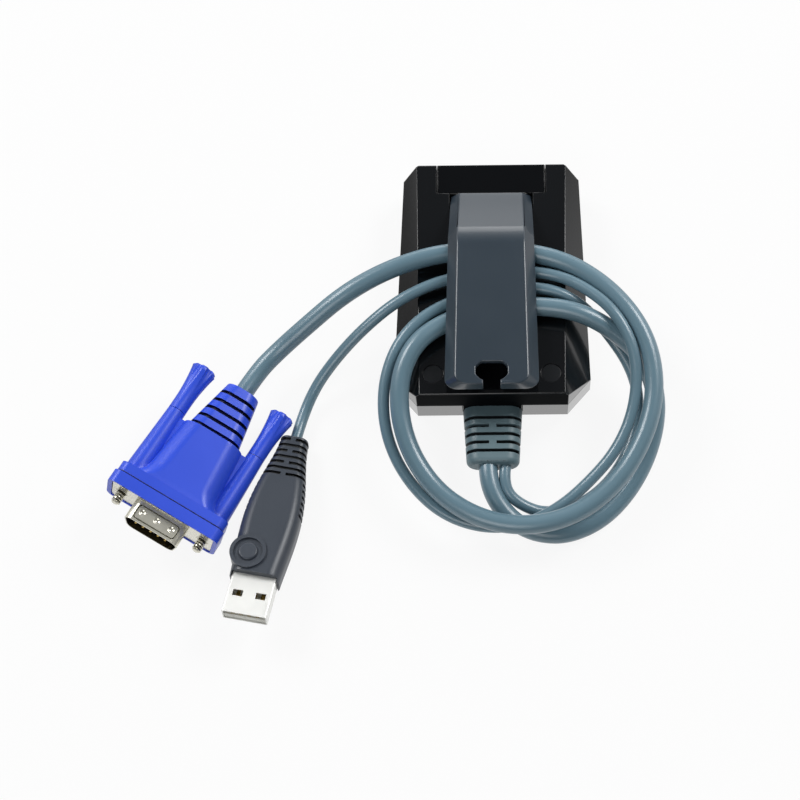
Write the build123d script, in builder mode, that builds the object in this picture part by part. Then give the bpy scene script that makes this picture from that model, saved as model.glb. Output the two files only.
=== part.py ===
import os
from math import pi, radians, sqrt, tan

from build123d import *

os.makedirs("parts", exist_ok=True)

# Case: X across, +Y towards the socket end, -Y towards the cords, front face down on Z = 0
case_length = 74.0
case_near_width = 54.4
case_far_width = 50.8
near_chamfer_x = 6.4
near_chamfer_y = 7.4
far_chamfer_x = 4.4
far_chamfer_y = 3.2
joint_height = 11.5
back_height_near = 19.5
back_height_far = 15.5
flat_near_width = 39.6
front_bevel = 4.6
wall = 1.8
edge_round = 0.5
fit_gap = 0.1

# Screws, caps and posts of the case
screw_spacing = 32.2
screw_inset = 6.3
screw_diameter = 2.2
screw_head_diameter = 4.0
screw_head_height = 1.5
screw_length = 9.0
cap_diameter = 5.4
cap_thickness = 1.0
post_diameter = 6.4
tongue_width = 2.6
tongue_spacing = 36.4
tongue_thickness = 1.2
tongue_rise = 1.1

# Cable clip
foot_width = 31.2
foot_depth = 9.6
foot_thickness = 2.5
pocket_wall = 1.0
clip_rise = 9.4
clip_drop = 4.0
clip_wall = 1.8
clip_bend = 8.1
clip_overhang = 1.0
clip_root_top = 18.0
clip_root_base = 23.5
clip_root_drop = 2.3
clip_end_top = 19.8
clip_end_base = 25.8
clip_corner = 3.0
clip_notch = 5.2
keyhole_width = 8.5
keyhole_depth = 5.2
keyhole_slot = 4.6
keyhole_inset = 1.4
clip_screw_spacing = 22.0
clip_screw_length = 3.2

# Board and what sits on it
board_width = 42.0
board_thickness = 1.6
board_height = 5.0
board_far_gap = 1.2
board_near_gap = 12.2
board_length = case_length - 2 * wall - board_far_gap - board_near_gap
board_screw_spacing = 34.0
board_screw_inset = 4.0
board_screw_length = 4.6
socket_width = 7.7
socket_height = 3.9
socket_depth = 9.0
socket_wall = 0.4
chip_width = 14.0
chip_height = 1.4
bridge_width = 9.0
bridge_height = 1.0
bridge_gap = 2.0
memory_width = 12.0
memory_depth = 8.0
memory_height = 1.1
crystal_length = 11.0
crystal_width = 4.6
crystal_height = 3.4
header_width = 8.0
header_depth = 4.0
header_height = 3.6
header_spacing = 14.0
header_inset = 1.5
lead_diameter = 2.4
lead_straight_share = 0.3

# Strain relief on the near wall
boot_height = 7.4
boot_width = 16.4
boot_thickness = 8.0
boot_end_width = 14.4
boot_end_thickness = 7.4
boot_length = 16.5
boot_round = 1.6
neck_width = 14.0
neck_thickness = 7.0
collar_grow = 1.6
collar_thickness = 5.6
collar_lift = 1.2
collar_depth = 2.0
boot_rows = 5
boot_first_row = 3.4
boot_row_pitch = 2.4
boot_slot = 0.85
boot_slot_depth = 1.3
boot_side_web = 1.6
boot_centre_web = 2.0

# Cords: the routes are points of a control polygon, from the strain relief to the plug
video_diameter = 5.2
usb_diameter = 3.2
run_share = 0.45
near_y = (clip_overhang - case_length) / 2
far_y = near_y + case_length
boot_end = near_y - boot_length
video_route = [
    (-1.3, boot_end, boot_height),
    (-1.3, -57.0, boot_height),
    (1.2, -63.2, 5.8),
    (6.0, -68.1, 3.9),
    (12.4, -70.9, 3.0),
    (20.5, -71.1, 2.8),
    (30.5, -67.1, 2.9),
    (39.0, -58.0, 3.6),
    (44.8, -46.0, 5.4),
    (46.5, -33.5, 8.5),
    (43.0, -23.0, 13.0),
    (34.5, -16.5, 18.2),
    (23.5, -12.0, 22.2),
    (11.5, -10.1, 22.0),
    (-1.0, -10.5, 21.8),
    (-12.5, -13.5, 21.8),
    (-20.5, -20.5, 22.6),
    (-24.5, -30.5, 20.6),
    (-24.6, -42.0, 17.4),
    (-21.0, -53.0, 14.4),
    (-13.5, -63.5, 12.8),
    (-2.5, -70.3, 12.6),
    (10.0, -72.1, 12.7),
    (22.0, -69.0, 12.7),
    (32.5, -61.0, 12.8),
    (40.5, -50.0, 14.2),
    (44.8, -37.5, 16.4),
    (44.5, -25.0, 18.8),
    (40.5, -14.0, 20.8),
    (32.5, -4.0, 21.6),
    (21.5, 3.5, 21.6),
    (9.0, 6.8, 21.6),
    (-4.0, 7.1, 21.6),
    (-16.5, 5.7, 21.6),
    (-29.0, 1.5, 21.2),
    (-41.0, -5.0, 19.6),
    (-52.3, -12.9, 14.4),
    (-59.95, -18.5, 9.5),
    (-65.66, -24.29, 8.13),
    (-69.4, -31.34, 8.69),
]
usb_route = [
    (3.4, boot_end, boot_height),
    (3.4, -56.0, boot_height),
    (5.0, -59.8, 6.0),
    (8.6, -62.9, 4.0),
    (13.6, -64.4, 2.5),
    (20.0, -63.7, 1.9),
    (27.5, -60.0, 1.8),
    (34.0, -52.5, 2.0),
    (38.5, -43.0, 2.8),
    (40.5, -33.0, 5.6),
    (38.0, -24.0, 9.4),
    (32.0, -15.5, 13.6),
    (24.5, -7.9, 19.3),
    (15.0, -4.4, 21.5),
    (3.5, -4.1, 21.0),
    (-8.0, -6.1, 21.0),
    (-18.0, -11.1, 21.2),
    (-24.8, -19.2, 20.4),
    (-28.6, -29.6, 17.4),
    (-29.0, -40.5, 14.8),
    (-26.4, -51.1, 12.4),
    (-20.6, -60.7, 10.2),
    (-12.6, -67.9, 8.4),
    (-2.0, -71.3, 7.9),
    (9.0, -69.9, 8.2),
    (18.5, -65.0, 8.4),
    (26.5, -58.0, 9.6),
    (33.0, -50.5, 11.8),
    (37.6, -41.5, 14.2),
    (39.4, -31.5, 17.4),
    (38.4, -22.0, 21.4),
    (34.4, -13.3, 23.4),
    (27.6, -6.3, 22.8),
    (19.0, -0.9, 21.6),
    (8.0, 0.9, 21.0),
    (-4.0, 0.3, 21.0),
    (-15.5, -2.3, 21.0),
    (-26.0, -7.3, 20.0),
    (-35.5, -14.0, 16.2),
    (-43.2, -20.9, 10.4),
    (-49.4, -27.9, 5.0),
    (-53.6, -36.5, 2.2),
    (-54.9, -43.3, 3.4),
]

# Video plug: heights run from the rear end of its cone to the nose
vga_roll = -14.0
vga_cone_width = 9.8
vga_cone_thickness = 8.6
vga_shoulder = 15.6
vga_shoulder_width = 15.6
vga_shoulder_thickness = 10.8
vga_cone_corner = 3.6
vga_rows = 5
vga_first_row = 3.1
vga_row_pitch = 3.0
vga_row_width = 1.0
vga_row_depth = 1.4
vga_row_web = 4.0
vga_body_width = 18.0
vga_body_thickness = 11.8
vga_body_middle_width = 21.0
vga_body_middle_thickness = 12.4
vga_body_front_width = 27.0
vga_body_front_thickness = 12.6
vga_body_corner = 5.0
vga_bell_depth = 4.0
vga_bell_share = 0.4
vga_length = 41.6
vga_flange_width = 33.6
vga_flange_thickness = 14.0
vga_flange_depth = 6.6
vga_flange_corner = 2.4
vga_rim_depth = 3.5
vga_rim_step = 0.5
vga_tube_length = 27.6
vga_tube_diameter = 5.0
vga_tube_front_diameter = 6.6
vga_web_thickness = 3.2
vga_screw_spacing = 24.99
vga_screw_diameter = 3.24
vga_thread_diameter = 2.84
vga_screw_reach = 3.4
vga_screw_bore = 3.4
vga_screw_tip = 0.5
vga_knob_length = 14.4
vga_knob_gap = 0.15
vga_knob_neck = 3.0
vga_knob_diameter = 7.3
vga_knob_flutes = 6
vga_knob_flute = 1.0
vga_knob_flute_depth = 1.0
vga_knob_end = 1.4
vga_knob_grip = 10.0
vga_plate_width = 30.8
vga_plate_thickness = 12.5
vga_plate_gauge = 0.8
vga_plate_corner = 1.0
vga_plate_recess = 1.1
vga_shell_width = 16.92
vga_shell_height = 8.36
vga_shell_angle = 80.0
vga_shell_reach = 5.9
vga_shell_gauge = 0.5
vga_shell_corner = 2.4
vga_dimples = 3
vga_dimple_pitch = 4.4
vga_dimple_radius = 1.3
vga_dimple_depth = 0.3
vga_carrier_depth = 5.0
vga_pins_across = 5
vga_pin_rows = 3
vga_pin_pitch = 2.29
vga_pin_row_pitch = 1.98
vga_pin_diameter = 0.95
vga_pin_reach = 4.9

# USB-A plug: heights run from the rear end of its moulding to the nose
usb_roll = 0.0
usb_length = 43.4
usb_sections = [(0.0, 7.8, 6.4), (12.5, 12.0, 7.6), (19.0, 14.4, 8.4), (26.0, 15.5, 8.8), (34.0, 15.0, 9.0)]
usb_front_width = 13.4
usb_front_thickness = 8.8
usb_ear_reach = 0.9
usb_rear_round = 0.6
usb_corner_share = 0.38
usb_rows = 7
usb_first_row = 1.3
usb_row_pitch = 1.9
usb_row_width = 0.9
usb_row_depth = 0.8
usb_row_web = 1.4
usb_ridges = 6
usb_first_ridge = 14.6
usb_ridge_pitch = 1.9
usb_ridge_width = 0.9
usb_ridge_depth = 0.6
usb_boss_diameter = 9.7
usb_boss_offset = -3.0
usb_boss_place = 38.0
usb_boss_rise = 0.7
usb_dish_diameter = 7.8
usb_dish_depth = 0.7
usb_dome_diameter = 5.2
usb_dome_rise = 0.6
usb_shell_width = 12.0
usb_shell_height = 4.5
usb_shell_length = 11.4
usb_shell_seat = 2.0
usb_shell_gauge = 0.35
usb_shell_corner = 0.5
usb_window_width = 2.7
usb_window_length = 1.8
usb_window_spacing = 6.2
usb_window_setback = 5.7
usb_tongue_height = 1.9
usb_contacts_count = 4
usb_contact_pitch = 2.2
usb_contact_width = 1.0
usb_contact_length = 8.0
usb_contact_gauge = 0.15

# Case outline and the planes that shape the back cover
right_half = [
    (case_near_width / 2 - near_chamfer_x, near_y),
    (case_near_width / 2, near_y + near_chamfer_y),
    (case_far_width / 2, far_y - far_chamfer_y),
    (case_far_width / 2 - far_chamfer_x, far_y),
]
case_outline = right_half + [(-x, y) for x, y in reversed(right_half)]
back_slope = (back_height_near - back_height_far) / case_length
back_plane = Plane(origin=(0, near_y, back_height_near), x_dir=(1, 0, 0), z_dir=(0, back_slope, 1))


def back_at(y):
    """Height of the back's flat at a place along the case."""
    return back_height_near - back_slope * (y - near_y)


def bevel_plane(side):
    """Plane of one side bevel, through the joint's edge and the near end of the flat's edge."""
    near_edge = Vector(side * right_half[1][0], right_half[1][1], joint_height)
    far_edge = Vector(side * right_half[2][0], right_half[2][1], joint_height)
    flat_edge = Vector(side * flat_near_width / 2, near_y, back_height_near)
    outward = (far_edge - near_edge).cross(flat_edge - near_edge) * side
    return Plane(origin=near_edge, z_dir=outward)


def back_form(inset, base):
    """Eight-sided block with the sloped back and the two side bevels, all moved in by inset."""
    with BuildPart() as form:
        with BuildSketch(Plane.XY.offset(base)):
            with BuildLine():
                Polyline(*case_outline, close=True)
            make_face()
            if inset:
                offset(amount=-inset, kind=Kind.INTERSECTION, mode=Mode.REPLACE)
        extrude(amount=back_height_near)
        split(bisect_by=back_plane.offset(-inset), keep=Keep.BOTTOM)
        for side in (1, -1):
            split(bisect_by=bevel_plane(side).offset(-inset), keep=Keep.BOTTOM)
    return form.part


def front_form(inset, top):
    """Eight-sided tray with its lower edge bevelled, moved in by inset."""
    with BuildPart() as form:
        with BuildSketch(Plane.XY.offset(inset)):
            with BuildLine():
                Polyline(*case_outline, close=True)
            make_face()
            if inset:
                offset(amount=-inset, kind=Kind.INTERSECTION, mode=Mode.REPLACE)
        extrude(amount=top - inset)
        rim = form.faces().sort_by(Axis.Z)[0].edges()
        chamfer(rim, front_bevel - inset * (2 - sqrt(2)))
    return form.part


# Places that several pieces share
screw_y = near_y + screw_inset
screw_places = [(side * screw_spacing / 2, screw_y) for side in (1, -1)]
cap_seat = back_at(screw_y) - cap_thickness - back_slope * cap_diameter
screw_seat = cap_seat - screw_head_height - fit_gap
foot_y = far_y - foot_depth / 2
foot_base = back_height_far - foot_thickness - fit_gap
pocket_floor = foot_base - joint_height
clip_screw_places = [(side * clip_screw_spacing / 2, foot_y) for side in (1, -1)]
board_y = far_y - wall - board_far_gap - board_length / 2
board_top = board_height + board_thickness
board_screw_places = [
    (across * board_screw_spacing / 2, board_y + along * (board_length / 2 - board_screw_inset))
    for across in (1, -1)
    for along in (1, -1)
]
tongue_places = [(side * tongue_spacing / 2, far_y - wall - fit_gap - tongue_thickness / 2) for side in (1, -1)]
header_y = board_y - board_length / 2 + header_inset + header_depth / 2
bridge_y = far_y - socket_depth - bridge_gap - bridge_width / 2
chip_y = (header_y + header_depth / 2 + bridge_y - bridge_width / 2) / 2
boot_plane = Plane(origin=(0, near_y, boot_height), x_dir=(1, 0, 0), z_dir=(0, -1, 0))

# Back cover: bevelled shell with the clip's pocket, two screw wells and the half collar over the boot
with BuildPart() as back_cavity:
    add(back_form(wall, joint_height - wall))
    with BuildSketch(Plane.XY.offset(joint_height - wall)):
        with Locations((0, far_y - foot_depth / 2 - clip_notch / 2)):
            Rectangle(foot_width + 2 * pocket_wall, foot_depth + clip_notch + 2 * wall)
    extrude(amount=back_height_near, mode=Mode.SUBTRACT)
    with BuildSketch(Plane.XY.offset(joint_height - wall)):
        with Locations(*screw_places):
            Circle(post_diameter / 2)
    extrude(amount=back_height_near, mode=Mode.SUBTRACT)
with BuildPart() as back_cover:
    add(back_form(0, joint_height))
    flat_edges = back_cover.faces().sort_by(Axis.Z)[-1].edges()
    fillet(flat_edges, edge_round)
    add(back_cavity.part, mode=Mode.SUBTRACT)
    with BuildSketch(Plane.XY.offset(foot_base)):
        with Locations((0, foot_y)):
            Rectangle(foot_width + 2 * fit_gap, foot_depth + 2 * fit_gap)
        with Locations((0, far_y - foot_depth - clip_notch / 2)):
            Rectangle(clip_root_base + 4 * fit_gap, clip_notch + 2 * fit_gap)
    extrude(amount=back_height_near, mode=Mode.SUBTRACT)
    with BuildSketch(Plane.XY.offset(foot_base)):
        with Locations(*clip_screw_places):
            Circle(screw_diameter / 2 + fit_gap)
    extrude(amount=-2 * pocket_floor, mode=Mode.SUBTRACT)
    for place in screw_places:
        with BuildSketch(Plane.XY.offset(cap_seat)):
            with Locations(place):
                Circle(cap_diameter / 2 + fit_gap / 2)
        extrude(amount=back_height_near, mode=Mode.SUBTRACT)
        with BuildSketch(Plane.XY.offset(screw_seat)):
            with Locations(place):
                Circle(screw_head_diameter / 2 + fit_gap)
        extrude(amount=back_height_near, mode=Mode.SUBTRACT)
        with BuildSketch():
            with Locations(place):
                Circle(screw_diameter / 2 + fit_gap)
        extrude(amount=back_height_near, mode=Mode.SUBTRACT)
    with BuildSketch(boot_plane):
        with Locations((0, (joint_height - boot_height + fit_gap) / 2)):
            Rectangle(boot_width, joint_height - boot_height - fit_gap)
        SlotOverall(neck_width + 2 * fit_gap, neck_thickness + 2 * fit_gap, mode=Mode.SUBTRACT)
    extrude(amount=-wall)
back_cover.part.label = "back_cover"
export_step(back_cover.part, "parts/back_cover.step")

# Front cover: bevelled tray with screw posts, board posts and two tongues behind the far wall
with BuildPart() as front_cover:
    add(front_form(0, joint_height))
    add(front_form(wall, joint_height + wall), mode=Mode.SUBTRACT)
    with BuildSketch(Plane.XY.offset(wall / 2)):
        with Locations(*screw_places):
            Circle(post_diameter / 2)
    extrude(amount=joint_height - wall / 2)
    with BuildSketch(Plane.XY.offset(wall / 2)):
        with Locations(*board_screw_places):
            Circle(post_diameter / 2)
    extrude(amount=board_height - wall / 2)
    with BuildSketch(Plane.XY.offset(joint_height - 2 * tongue_rise)):
        with Locations(*tongue_places):
            Rectangle(tongue_width, tongue_thickness)
    extrude(amount=3 * tongue_rise)
    with BuildSketch(Plane.XY.offset(joint_height - 2 * tongue_rise)):
        for x, y in tongue_places:
            with Locations((x, far_y - wall)):
                Rectangle(tongue_width, 4 * fit_gap)
    extrude(amount=2 * tongue_rise)
    with BuildSketch(Plane.XY.offset(wall)):
        with Locations(*screw_places):
            Circle(screw_diameter / 2 + fit_gap / 2)
        with Locations(*board_screw_places):
            Circle(screw_diameter / 2 + fit_gap / 2)
    extrude(amount=joint_height, mode=Mode.SUBTRACT)
    with BuildSketch(Plane.XZ.offset(-far_y)):
        with Locations((0, board_top + socket_height / 2)):
            Rectangle(socket_width + 4 * fit_gap, socket_height + 4 * fit_gap)
    extrude(amount=2 * wall, both=True, mode=Mode.SUBTRACT)
    with BuildSketch(boot_plane):
        SlotOverall(neck_width + 2 * fit_gap, neck_thickness + 2 * fit_gap)
        with Locations((0, (joint_height - boot_height) / 2)):
            Rectangle(boot_width + 2 * fit_gap, joint_height - boot_height)
    extrude(amount=-wall - fit_gap, mode=Mode.SUBTRACT)
front_cover.part.label = "front_cover"
export_step(front_cover.part, "parts/front_cover.step")

# Case screws: pan heads seated in the wells, shanks in the front cover's posts
with BuildPart() as case_screws:
    for place in screw_places:
        with BuildSketch(Plane.XY.offset(screw_seat)):
            with Locations(place):
                Circle(screw_head_diameter / 2)
        extrude(amount=screw_head_height)
        with BuildSketch(Plane.XY.offset(screw_seat)):
            with Locations(place):
                Circle(screw_diameter / 2)
        extrude(amount=-screw_length)
case_screws.part.label = "case_screws"
export_step(case_screws.part, "parts/case_screws.step")

# Screw caps: two round plugs over the screw heads, a little below the back's flat
with BuildPart() as screw_caps:
    with BuildSketch(Plane.XY.offset(cap_seat)):
        with Locations(*screw_places):
            Circle(cap_diameter / 2)
    extrude(amount=cap_thickness)
    chamfer(screw_caps.faces().group_by(Axis.Z)[-1].edges(), fit_gap)
screw_caps.part.label = "screw_caps"
export_step(screw_caps.part, "parts/screw_caps.step")

# Cable clip: a foot in the pocket and a channel-shaped arm that rises and runs level to its free end
clip_root_y = far_y - foot_depth
clip_end_y = near_y - clip_overhang
clip_top = back_height_near + clip_rise
clip_mid_share = (clip_root_y - clip_bend) / (clip_root_y - clip_end_y)


def clip_width(start, end, share):
    """Width of the arm at a share of the way from its root to its free end."""
    return start + (end - start) * share


def clip_sections(inset, end_inset):
    """The arm's three sections as place along the case, top, drop, top width and base width."""
    return [
        (
            y,
            top - inset,
            drop,
            clip_width(clip_root_top, clip_end_top, share) - inset * 2,
            clip_width(clip_root_base, clip_end_base, share) - inset * 2,
        )
        for y, top, drop, share in (
            (clip_root_y, back_at(clip_root_y), clip_root_drop, 0.0),
            (clip_bend, clip_top, clip_drop, clip_mid_share),
            (clip_end_y + end_inset, clip_top, clip_drop, 1.0),
        )
    ]


def clip_loft(sections):
    """Ruled loft through flat-topped sections that widen downwards."""
    with BuildPart() as form:
        for y, top, drop, top_width, base_width in sections:
            with BuildSketch(Plane(origin=(0, y, top), x_dir=(1, 0, 0), z_dir=(0, -1, 0))):
                with BuildLine():
                    Polyline(
                        (-top_width / 2, 0),
                        (top_width / 2, 0),
                        (base_width / 2, -drop),
                        (-base_width / 2, -drop),
                        close=True,
                    )
                make_face()
        loft(ruled=True)
    return form.part


with BuildPart() as cable_clip:
    add(clip_loft(clip_sections(0, 0)))
    end_corners = cable_clip.edges().filter_by(lambda e: e.center().Y < clip_end_y + fit_gap)
    end_sides = end_corners.filter_by(lambda e: abs(e.center().X) > clip_end_top / 4)
    fillet(end_sides, clip_corner)
    add(clip_loft(clip_sections(clip_wall, clip_wall)[1:]), mode=Mode.SUBTRACT)
    with BuildSketch(Plane.XY.offset(foot_base)):
        with Locations((0, foot_y)):
            Rectangle(foot_width, foot_depth)
    extrude(amount=foot_thickness)
    with BuildSketch(Plane.XY.offset(foot_base)):
        with Locations(*clip_screw_places):
            Circle(screw_diameter / 2 + fit_gap / 2)
    extrude(amount=foot_thickness - wall / 3, mode=Mode.SUBTRACT)
    keyhole_y = clip_end_y + keyhole_inset + keyhole_depth / 2
    with BuildSketch(Plane.XY.offset(clip_top - clip_drop)):
        with Locations((0, keyhole_y)):
            Rectangle(keyhole_width, keyhole_depth)
            chamfer(vertices(), keyhole_inset)
        with Locations((0, clip_end_y)):
            Rectangle(keyhole_slot, keyhole_depth + 2 * keyhole_inset)
    extrude(amount=2 * clip_drop, mode=Mode.SUBTRACT)
cable_clip.part.label = "cable_clip"
export_step(cable_clip.part, "parts/cable_clip.step")

# Clip screws: driven from inside the case, up into the clip's foot
with BuildPart() as clip_screws:
    with BuildSketch(Plane.XY.offset(joint_height)):
        with Locations(*clip_screw_places):
            Circle(screw_head_diameter / 2)
    extrude(amount=-screw_head_height / 2)
    with BuildSketch(Plane.XY.offset(joint_height)):
        with Locations(*clip_screw_places):
            Circle(screw_diameter / 2)
    extrude(amount=clip_screw_length)
clip_screws.part.label = "clip_screws"
export_step(clip_screws.part, "parts/clip_screws.step")

# Main board on its four posts
with BuildPart() as main_board:
    with BuildSketch(Plane.XY.offset(board_height)):
        with Locations((0, board_y)):
            Rectangle(board_width, board_length)
        with Locations(*board_screw_places):
            Circle(screw_diameter / 2 + fit_gap, mode=Mode.SUBTRACT)
    extrude(amount=board_thickness)
main_board.part.label = "main_board"
export_step(main_board.part, "parts/main_board.step")

# Board screws
with BuildPart() as board_screws:
    with BuildSketch(Plane.XY.offset(board_top)):
        with Locations(*board_screw_places):
            Circle(screw_head_diameter / 2)
    extrude(amount=screw_head_height)
    with BuildSketch(Plane.XY.offset(board_top)):
        with Locations(*board_screw_places):
            Circle(screw_diameter / 2)
    extrude(amount=-board_screw_length)
board_screws.part.label = "board_screws"
export_step(board_screws.part, "parts/board_screws.step")

# Capture chip in the middle of the board, with a bevelled moulding
with BuildPart() as capture_chip:
    with BuildSketch(Plane.XY.offset(board_top)):
        with Locations((0, chip_y)):
            Rectangle(chip_width, chip_width)
    extrude(amount=chip_height)
    chamfer(capture_chip.faces().sort_by(Axis.Z)[-1].edges(), chip_height / 4)
capture_chip.part.label = "capture_chip"
export_step(capture_chip.part, "parts/capture_chip.step")

# Bridge chip between the capture chip and the mini socket
with BuildPart() as bridge_chip:
    with BuildSketch(Plane.XY.offset(board_top)):
        with Locations((0, bridge_y)):
            Rectangle(bridge_width, bridge_width)
    extrude(amount=bridge_height)
bridge_chip.part.label = "bridge_chip"
export_step(bridge_chip.part, "parts/bridge_chip.step")

# Memory chip beside the capture chip
with BuildPart() as memory_chip:
    with BuildSketch(Plane.XY.offset(board_top)):
        with Locations((chip_width / 2 + memory_depth, chip_y)):
            Rectangle(memory_depth, memory_width)
    extrude(amount=memory_height)
memory_chip.part.label = "memory_chip"
export_step(memory_chip.part, "parts/memory_chip.step")

# Crystal can on the other side of the capture chip
with BuildPart() as crystal:
    with BuildSketch(Plane.XY.offset(board_top)):
        with Locations((-chip_width / 2 - crystal_width, chip_y)):
            SlotOverall(crystal_length, crystal_width, rotation=90)
    extrude(amount=crystal_height)
crystal.part.label = "crystal"
export_step(crystal.part, "parts/crystal.step")

# Mini socket: folded metal shell at the far wall
with BuildPart() as mini_usb_socket:
    with BuildSketch(Plane.XZ.offset(-far_y)):
        with Locations((0, board_top + socket_height / 2)):
            Rectangle(socket_width, socket_height)
    extrude(amount=socket_depth)
    with BuildSketch(Plane.XZ.offset(-far_y)):
        with Locations((0, board_top + socket_height / 2)):
            Rectangle(socket_width - 2 * socket_wall, socket_height - 2 * socket_wall)
    extrude(amount=socket_depth - socket_wall, mode=Mode.SUBTRACT)
mini_usb_socket.part.label = "mini_usb_socket"
export_step(mini_usb_socket.part, "parts/mini_usb_socket.step")

# Tongue that carries the mini socket's contacts, on the shell's back wall
with BuildPart() as mini_usb_tongue:
    with BuildSketch(Plane.XZ.offset(-far_y + socket_depth - socket_wall)):
        with Locations((0, board_top + socket_height / 2)):
            Rectangle(socket_width / 2, socket_height / 4)
    extrude(amount=-socket_depth * 2 / 3)
mini_usb_tongue.part.label = "mini_usb_tongue"
export_step(mini_usb_tongue.part, "parts/mini_usb_tongue.step")

# Headers at the near edge of the board and the stripped leads from the cords
lead_height = board_top + header_height / 2
collar_y = near_y + wall + fit_gap + collar_depth


def header(side):
    """One block header on the board's near edge."""
    with BuildPart() as form:
        with BuildSketch(Plane.XY.offset(board_top)):
            with Locations((side * header_spacing / 2, header_y)):
                Rectangle(header_width, header_depth)
        extrude(amount=header_height)
    return form.part


def leads(start_x, side):
    """A short bundle from the strain relief's collar up to its header."""
    end_y = header_y - header_depth / 2
    straight = (end_y - collar_y) * lead_straight_share
    end_x = side * header_spacing / 2
    with BuildPart() as form:
        with BuildLine():
            FilletPolyline(
                (start_x, collar_y, boot_height),
                (start_x, collar_y + straight, boot_height),
                (end_x, end_y - straight, lead_height),
                (end_x, end_y, lead_height),
                radius=lead_diameter / 2 + fit_gap,
            )
        with BuildSketch(Plane(origin=(start_x, collar_y, boot_height), z_dir=(0, 1, 0))):
            Circle(lead_diameter / 2)
        sweep()
    return form.part


video_header = header(-1)
video_header.label = "video_header"
export_step(video_header, "parts/video_header.step")
usb_header = header(1)
usb_header.label = "usb_header"
export_step(usb_header, "parts/usb_header.step")
video_leads = leads(video_route[0][0], -1)
video_leads.label = "video_leads"
export_step(video_leads, "parts/video_leads.step")
usb_leads = leads(usb_route[0][0], 1)
usb_leads.label = "usb_leads"
export_step(usb_leads, "parts/usb_leads.step")

# Strain relief: tapered boot with alternating slots, a neck in the wall and a collar behind it
with BuildPart() as strain_relief:
    with BuildSketch(boot_plane):
        SlotOverall(boot_width, boot_thickness)
    with BuildSketch(boot_plane.offset(boot_length)):
        SlotOverall(boot_end_width, boot_end_thickness)
    loft()
    fillet(strain_relief.faces().sort_by(Axis.Y)[0].edges(), boot_round)
    with BuildSketch(boot_plane):
        SlotOverall(neck_width, neck_thickness)
    extrude(amount=-wall - fit_gap)
    with BuildSketch(boot_plane.offset(-wall - fit_gap)):
        with Locations((0, collar_lift)):
            SlotOverall(neck_width + collar_grow, collar_thickness)
    extrude(amount=-collar_depth)
    for row in range(boot_rows):
        distance = boot_first_row + row * boot_row_pitch
        taper = distance / boot_length
        row_width = boot_width + (boot_end_width - boot_width) * taper
        row_thickness = boot_thickness + (boot_end_thickness - boot_thickness) * taper
        with BuildSketch(boot_plane.offset(distance - boot_slot / 2)):
            SlotOverall(boot_width + wall, boot_thickness + wall)
            SlotOverall(
                row_width - 2 * boot_slot_depth,
                row_thickness - 2 * boot_slot_depth,
                mode=Mode.SUBTRACT,
            )
            if row % 2:
                Rectangle(boot_centre_web, 2 * boot_thickness, mode=Mode.SUBTRACT)
            else:
                Rectangle(2 * boot_width, boot_side_web, mode=Mode.SUBTRACT)
        extrude(amount=boot_slot, mode=Mode.SUBTRACT)
strain_relief.part.label = "strain_relief"
export_step(strain_relief.part, "parts/strain_relief.step")


# Cords: tubes of straight runs and tangent arcs, each arc as large as its runs allow
def cord_radii(route):
    """Arc radius at each inner point of a route."""
    points = [Vector(*point) for point in route]
    radii = []
    for before, corner, after in zip(points, points[1:], points[2:]):
        turn = (corner - before).get_angle(after - corner)
        run = min((corner - before).length, (after - corner).length)
        radii.append(run_share * run / tan(radians(turn / 2)))
    return radii


def cord_tube(route, diameter):
    """A plain round tube along a route."""
    radii = cord_radii(route)
    with BuildPart() as form:
        with BuildLine() as line:
            FilletPolyline(*route, radius=radii)
        with BuildSketch(Plane(origin=route[0], z_dir=Vector(*route[1]) - Vector(*route[0]))):
            Circle(diameter / 2)
        sweep()
    length = line.wires()[0].length
    expected = length * pi * diameter**2 / 4
    print("cord length", round(length, 1), "volume share", round(form.part.volume / expected, 4))
    print("radii", [round(radius, 1) for radius in radii])
    return form.part


video_cable = cord_tube(video_route, video_diameter)
video_cable.label = "video_cable"
export_step(video_cable, "parts/video_cable.step")
usb_cable = cord_tube(usb_route, usb_diameter)
usb_cable.label = "usb_cable"
export_step(usb_cable, "parts/usb_cable.step")


def plug_plane(route, roll):
    """Plane on the end of a cord: its normal runs along the last run, its Y points up."""
    end = Vector(*route[-1])
    nose = (end - Vector(*route[-2])).normalized()
    across = Vector(0, 0, 1).cross(nose).rotate(Axis((0, 0, 0), nose), roll)
    return Plane(origin=end, x_dir=across, z_dir=nose)


# Video plug hood: ribbed cone, flaring body, two screw tubes and a stepped flange, moulded in one
vga_rear = plug_plane(video_route, vga_roll)
vga_flange_back = vga_length - vga_flange_depth
vga_tube_start = vga_length - vga_tube_length
vga_plate_back = vga_length - vga_plate_recess
vga_plate_front = vga_plate_back + vga_plate_gauge
vga_screw_places = [(side * vga_screw_spacing / 2, 0) for side in (1, -1)]


def shell_outline(inset):
    """D-shaped outline with its wide side up, drawn in the sketch that is open."""
    Trapezoid(
        vga_shell_width - 2 * inset,
        vga_shell_height - 2 * inset,
        vga_shell_angle,
        rotation=180,
    )
    fillet(vertices(), vga_shell_corner - inset)


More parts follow.
